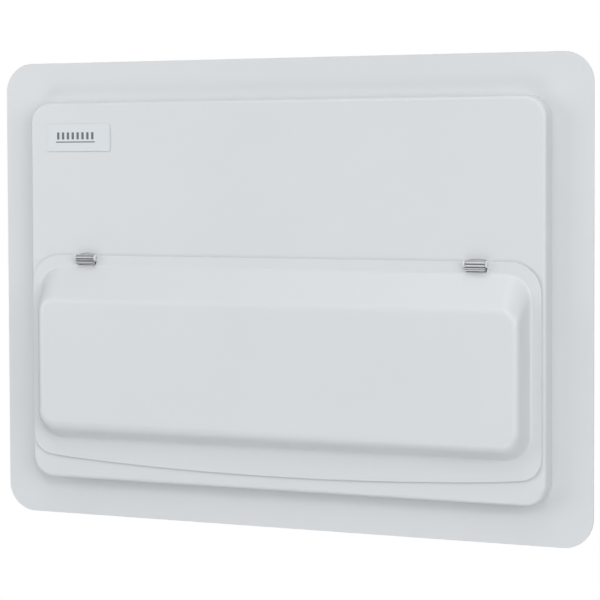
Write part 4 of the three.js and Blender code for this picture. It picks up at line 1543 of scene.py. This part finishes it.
@dataclass
class Toggle(SubAssembly):
    """A moulded toggle on its trunnions: a drum with a waisted handle.

    The neck is given as pairs: how much wider than the waist it is, and how far out from the pivot.
    """

    node: str
    body: str
    width: float
    finish: Finish
    pivot_depth: float = 4.7
    drum: float = 6.2
    root: float = 2.2
    reach: float = 13.8
    tip: float = 1.5
    waist: float = 1.4
    neck: tuple[Span, ...] = ((0.35, 7.6), (0.05, 9.4), (0.0, 11.2))
    edge: float = 0.35
    swing_deg: float = -40.0
    trunnion: float = 1.4
    trunnion_reach: float = 2.0

    def section(self) -> Section:
        """The toggle's section about its pivot, pointing straight out.

        Returns:
            Its corners as pairs of up and out.
        """
        root = math.degrees(math.asin(self.root / self.drum))
        neck = [(self.waist + wider, out) for wider, out in self.neck]
        points = arc((0.0, 0.0), self.drum, 90 + root, 450 - root, steps=36)
        points += neck
        points += arc((0.0, self.reach - self.tip), self.tip, 0, 180, steps=10)
        points += [(-up, out) for up, out in reversed(neck)]
        return points

    def dress(self, fitter: Fitter) -> None:
        """Builds the toggle switched off, pointing down, and fits it."""
        case = PanelBox.of(self.body)
        x, up, out = case.middle[0], case.middle[1], case.front - self.pivot_depth
        cos, sin = math.cos(math.radians(self.swing_deg)), math.sin(math.radians(self.swing_deg))
        section = [(up + a * cos + b * sin, out - a * sin + b * cos) for a, b in self.section()]
        half = self.width / 2
        handle = drawn_out(section, about(x, half), self.edge)
        end = half + self.trunnion_reach
        ends = [(-end, self.trunnion), (end, self.trunnion)]
        axle = turned(ends, Axis.ACROSS, (x, up, out), sides=20)
        fitter.stand_for(together(handle, axle).object(f"{self.node}_moulded", self.finish), self.node)


@dataclass
class Device(SubAssembly):
    """A modular device on the rail, with its label panel, finger grooves and number."""

    node: str
    duty: Duty
    panel_up: Span = (-20.0, -12.5)
    panel_depth: float = 0.35
    panel_margin: float = 2.0
    panel_corner: float = 0.6
    ribs_up: tuple[float, ...] = (19.4, 20.8)
    rib: float = 0.6
    rib_depth: float = 0.35
    rib_margin: float = 1.6
    rib_corner: float = 0.15
    type_height: float = 5.0

    def relief(self, box: PanelBox) -> Surface:
        """The shallow label panel and the finger grooves on the nose.

        Args:
            box: The case's box.

        Returns:
            The blocks that cut them.
        """
        x, up, _ = box.middle
        half = box.width / 2
        low, high = self.panel_up
        wide = about(x, half - self.panel_margin)
        panel = crisp(wide, (up + low, up + high), box.cut(self.panel_depth), self.panel_corner)
        wide = about(x, half - self.rib_margin)
        grooves = [
            crisp(wide, span_from(up + level, self.rib), box.cut(self.rib_depth), self.rib_corner)
            for level in self.ribs_up
        ]
        return together(panel, *grooves)

    def dress(self, fitter: Fitter) -> None:
        """Builds and fits the case and its print."""
        box = PanelBox.of(self.node)
        case = edged_copy(self.node, f"{self.node}_moulded", SWITCH_CASE)
        fitter.stand_for(carve(case, self.relief(box)), self.node)
        place = (box.middle[0], box.middle[1] + sum(self.panel_up) / 2, box.front - self.panel_depth)
        number = numeral(self.duty.value, place, self.type_height)
        fitter.add_to(number.object(f"{self.node}_print", BADGE_INK), self.node, "label_film")


@dataclass
class Breaker(SubAssembly):
    """A breaker with its toggle and its test button."""

    number: int
    duty: Duty
    toggle_width: float = 8.0
    button_edge: float = 0.45
    button_corner: float = 0.9

    def dress(self, fitter: Fitter) -> None:
        """Builds and fits the case, the toggle and the button."""
        name = f"rcbo_{self.number}"
        Device(f"{name}_body", self.duty).dress(fitter)
        Toggle(f"{name}_lever", f"{name}_body", self.toggle_width, TOGGLE_DARK).dress(fitter)
        box = PanelBox.of(f"{name}_test_button")
        button = slab(box.across, box.up, box.out, self.button_corner, self.button_edge)
        fitter.stand_for(button.object(f"{name}_test_button_moulded", TEST_AMBER), f"{name}_test_button")


@dataclass
class SurgeProtector(SubAssembly):
    """The surge protector: a base with two plug-in cartridges, each with its status flag and grip."""

    node: str = "surge_protector_body"
    split: float = 0.5
    split_depth: float = 0.8
    split_corner: float = 0.05
    cartridge_half: float = 16.0
    cartridge_margin: float = 1.4
    flag: Span = (3.2, 2.4)
    flag_up: float = 11.0
    flag_corner: float = 0.3
    flag_edge: float = 0.05
    flag_window: float = 0.7
    flag_sunk: Span = (0.75, 0.45)
    grip_half: float = 4.5
    grips_up: tuple[float, ...] = (-8.0, -6.0, -4.0)
    grip: float = 0.9
    grip_depth: float = 0.4
    grip_corner: float = 0.2

    def outlines(self, box: PanelBox) -> list[Surface]:
        """The grooves round the two cartridges.

        Args:
            box: The case's box.

        Returns:
            The blocks that cut them: one upright and two level.
        """
        x, up, _ = box.middle
        z, thin = box.cut(self.split_depth), self.split / 2
        wide = about(x, box.width / 2 - self.cartridge_margin)
        levels = (up - self.cartridge_half, up + self.cartridge_half)
        blocks = [crisp(about(x, thin), about(up, self.cartridge_half), z, self.split_corner)]
        return blocks + [crisp(wide, about(level, thin), z, self.split_corner) for level in levels]

    def dress(self, fitter: Fitter) -> None:
        """Builds the case, cuts the cartridges' outlines, windows and grips, and adds the flags."""
        box = PanelBox.of(self.node)
        x, up, _ = box.middle
        made = edged_copy(self.node, f"{self.node}_moulded", SWITCH_CASE)
        blocks, flags = self.outlines(box), []
        sunk = (box.front - self.flag_sunk[0], box.front - self.flag_sunk[1])
        for side in (-1, 1):
            centre = x + side * box.width / 4
            wide, tall = about(centre, self.flag[0] / 2), about(up + self.flag_up, self.flag[1] / 2)
            blocks.append(crisp(wide, tall, box.cut(self.flag_window), self.flag_corner))
            flags.append(slab(wide, tall, sunk, self.flag_corner, self.flag_edge))
            for level in self.grips_up:
                rib = span_from(up + level, self.grip)
                z = box.cut(self.grip_depth)
                blocks.append(crisp(about(centre, self.grip_half), rib, z, self.grip_corner))
        fitter.stand_for(carve(made, *blocks), self.node)
        fitter.add_to(together(*flags).object("surge_protector_flags", STATUS_GREEN), self.node)


@dataclass
class BlankPlate(SubAssembly):
    """The blank over the unused modules, with a snap line at each module."""

    modules: int = 4
    line: float = 0.5
    line_corner: float = 0.1
    depth: float = 0.3
    margin: float = 2.4
    edge: float = 0.25

    def dress(self, fitter: Fitter) -> None:
        """Builds the blank and fits it."""
        box = PanelBox.of("blank_plate")
        made = edged_copy("blank_plate", "blank_plate_moulded", BLANK_GREY, self.edge)
        y, z = (box.bottom + self.margin, box.top - self.margin), box.cut(self.depth)
        places = [box.left + box.width * i / self.modules for i in range(1, self.modules)]
        lines = [crisp(about(x, self.line / 2), y, z, self.line_corner) for x in places]
        fitter.stand_for(carve(made, together(*lines)), "blank_plate")


# ---------------------------------------------------------------- inside the box


@dataclass
class Rail(SubAssembly):
    """The galvanised rail with its row of oblong slots, on two brackets."""

    edge: float = 0.2
    slot_pitch: float = 25.0
    slot_length: float = 15.0
    slot_height: float = 6.2
    slot_corner: float = 3.0
    slot_depth: float = 2.0
    slots: int = 9

    def dress(self, fitter: Fitter) -> None:
        """Builds and fits the rail and its brackets."""
        box = PanelBox.of("din_rail")
        made = edged_copy("din_rail", "din_rail_galvanised", GALVANISED, self.edge)
        y, z = about(box.middle[1], self.slot_height / 2), (box.back - OVERRUN, box.back + self.slot_depth)
        places = [(i - (self.slots - 1) / 2) * self.slot_pitch for i in range(self.slots)]
        slots = [crisp(about(x, self.slot_length / 2), y, z, self.slot_corner) for x in places]
        fitter.stand_for(carve(made, together(*slots)), "din_rail")
        for side in SIDES:
            node = f"rail_bracket_{side}"
            fitter.stand_for(edged_copy(node, f"{node}_galvanised", GALVANISED), node)


@dataclass
class TerminalBar(SubAssembly):
    """A brass bar with a slotted clamp screw over each cable hole, on its moulded carrier."""

    node: str
    holes: int = 12
    screw: float = 2.5
    sunk: float = 0.5
    proud: float = 1.2
    bevel: Span = (0.3, 0.4)
    slot: float = 0.7
    slot_depth: float = 0.7
    carrier_edge: float = 0.4

    def dress(self, fitter: Fitter) -> None:
        """Builds and fits the bar, its screws and its carrier."""
        box = PanelBox.of(self.node)
        fitter.stand_for(edged_copy(self.node, f"{self.node}_brass", BRASS), self.node)
        places = [box.left + (i + 0.5) * (box.width / self.holes) for i in range(self.holes)]
        straight, narrow = self.proud - self.bevel[0], self.screw - self.bevel[1]
        profile = [(-self.sunk, self.screw), (straight, self.screw), (self.proud, narrow)]
        top = box.front + self.proud
        z = (top - self.slot_depth, top + OVERRUN)
        screws = slotted_heads(f"{self.node}_clamp_screws", box, places, profile, 20, self.slot, z)
        fitter.add_to(screws, self.node, "bright_steel")
        carrier = f"{self.node}_carrier"
        fitter.stand_for(edged_copy(carrier, f"{carrier}_moulded", CARRIER_GREY, self.carrier_edge), carrier)


@dataclass
class CableClamp(SubAssembly):
    """The two-part clamp for the supply cables, with its two screws."""

    edge: float = 0.4
    screw_from_middle: float = 20.6
    screw: float = 2.6
    sunk: float = 0.5
    straight: float = 1.0
    proud: float = 1.5
    bevel: float = 0.8
    slot: float = 0.8
    slot_out: Span = (0.8, 3.0)

    def dress(self, fitter: Fitter) -> None:
        """Builds and fits the clamp's halves and screws."""
        for half in ("base", "strap"):
            node = f"tail_clamp_{half}"
            fitter.stand_for(edged_copy(node, f"{node}_moulded", CARRIER_GREY, self.edge), node)
        box = PanelBox.of("tail_clamp_strap")
        narrow = self.screw - self.bevel
        profile = [(-self.sunk, self.screw), (self.straight, self.screw), (self.proud, narrow)]
        z = (box.front + self.slot_out[0], box.front + self.slot_out[1])
        places = about(box.middle[0], self.screw_from_middle)
        screws = slotted_heads("tail_clamp_screws", box, places, profile, 24, self.slot, z)
        fitter.add_to(screws, "tail_clamp_strap", "bright_steel")


@dataclass
class PlainParts(SubAssembly):
    """Parts whose CAD shape is the whole shape, apart from their edges."""

    parts: tuple[tuple[str, Finish, float], ...] = (
        ("busbar", COPPER, 0.2),
        ("busbar_shroud", CARRIER_GREY, 0.25),
        ("cable_grommet", GROMMET_RUBBER, 0.4),
        ("tail_grommet", GROMMET_RUBBER, 0.4),
        ("cover_pillar_left", GALVANISED, 0.3),
        ("cover_pillar_right", GALVANISED, 0.3),
    )

    def dress(self, fitter: Fitter) -> None:
        """Breaks each part's edges and fits it."""
        for node, finish, edge in self.parts:
            fitter.stand_for(edged_copy(node, f"{node}_finished", finish, edge), node)


# ---------------------------------------------------------------- main

# What the breakers do, from the left of the row.
BREAKER_DUTIES = (*[Duty.RING] * 2, *[Duty.RADIAL] * 2, *[Duty.SOCKET] * 2, *[Duty.LIGHT] * 2)

# The screws' shank and head radii, the head's thickness and the length under it.
SCREW_SIZES = {
    "cover": (1.75, 3.5, 2.2, 12.0),
    "frame": (1.4, 2.6, 1.6, 9.0),
    "din_rail": (1.6, 3.3, 2.0, 8.0),
}


def assemblies() -> list[SubAssembly]:
    """Every sub-assembly of the unit, from the wall outwards."""
    return [
        BackBox(),
        Rail(),
        TerminalBar("neutral_bar"),
        TerminalBar("earth_bar"),
        CableClamp(),
        PlainParts(),
        FlushFrame(),
        FrontCover(),
        *(PanScrew(f"{kind}_screw_{side}", *sizes) for kind, sizes in SCREW_SIZES.items() for side in SIDES),
        BlankPlate(),
        *(Breaker(i + 1, duty) for i, duty in enumerate(BREAKER_DUTIES)),
        SurgeProtector(),
        Device("main_switch_body", Duty.ISOLATOR),
        Toggle("main_switch_lever", "main_switch_body", 15.0, TOGGLE_RED),
        CircuitLabel(),
        Badge(),
        Lid(),
        *(Hinge(side) for side in SIDES),
    ]


def main() -> None:
    """Builds the unit's looks, sub-assembly by sub-assembly."""
    logging.basicConfig(level=logging.INFO)
    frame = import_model()
    studio = Studio()
    face = PanelBox.of("flush_frame")
    studio.camera((0.0, (face.bottom + face.top) / 2, face.front))
    studio.light()
    studio.floor()
    bpy.context.scene.view_settings.view_transform = "Standard"

    fitter = Fitter(frame["record"])
    for assembly in assemblies():
        assembly.dress(fitter)


if __name__ == "__main__":
    main()
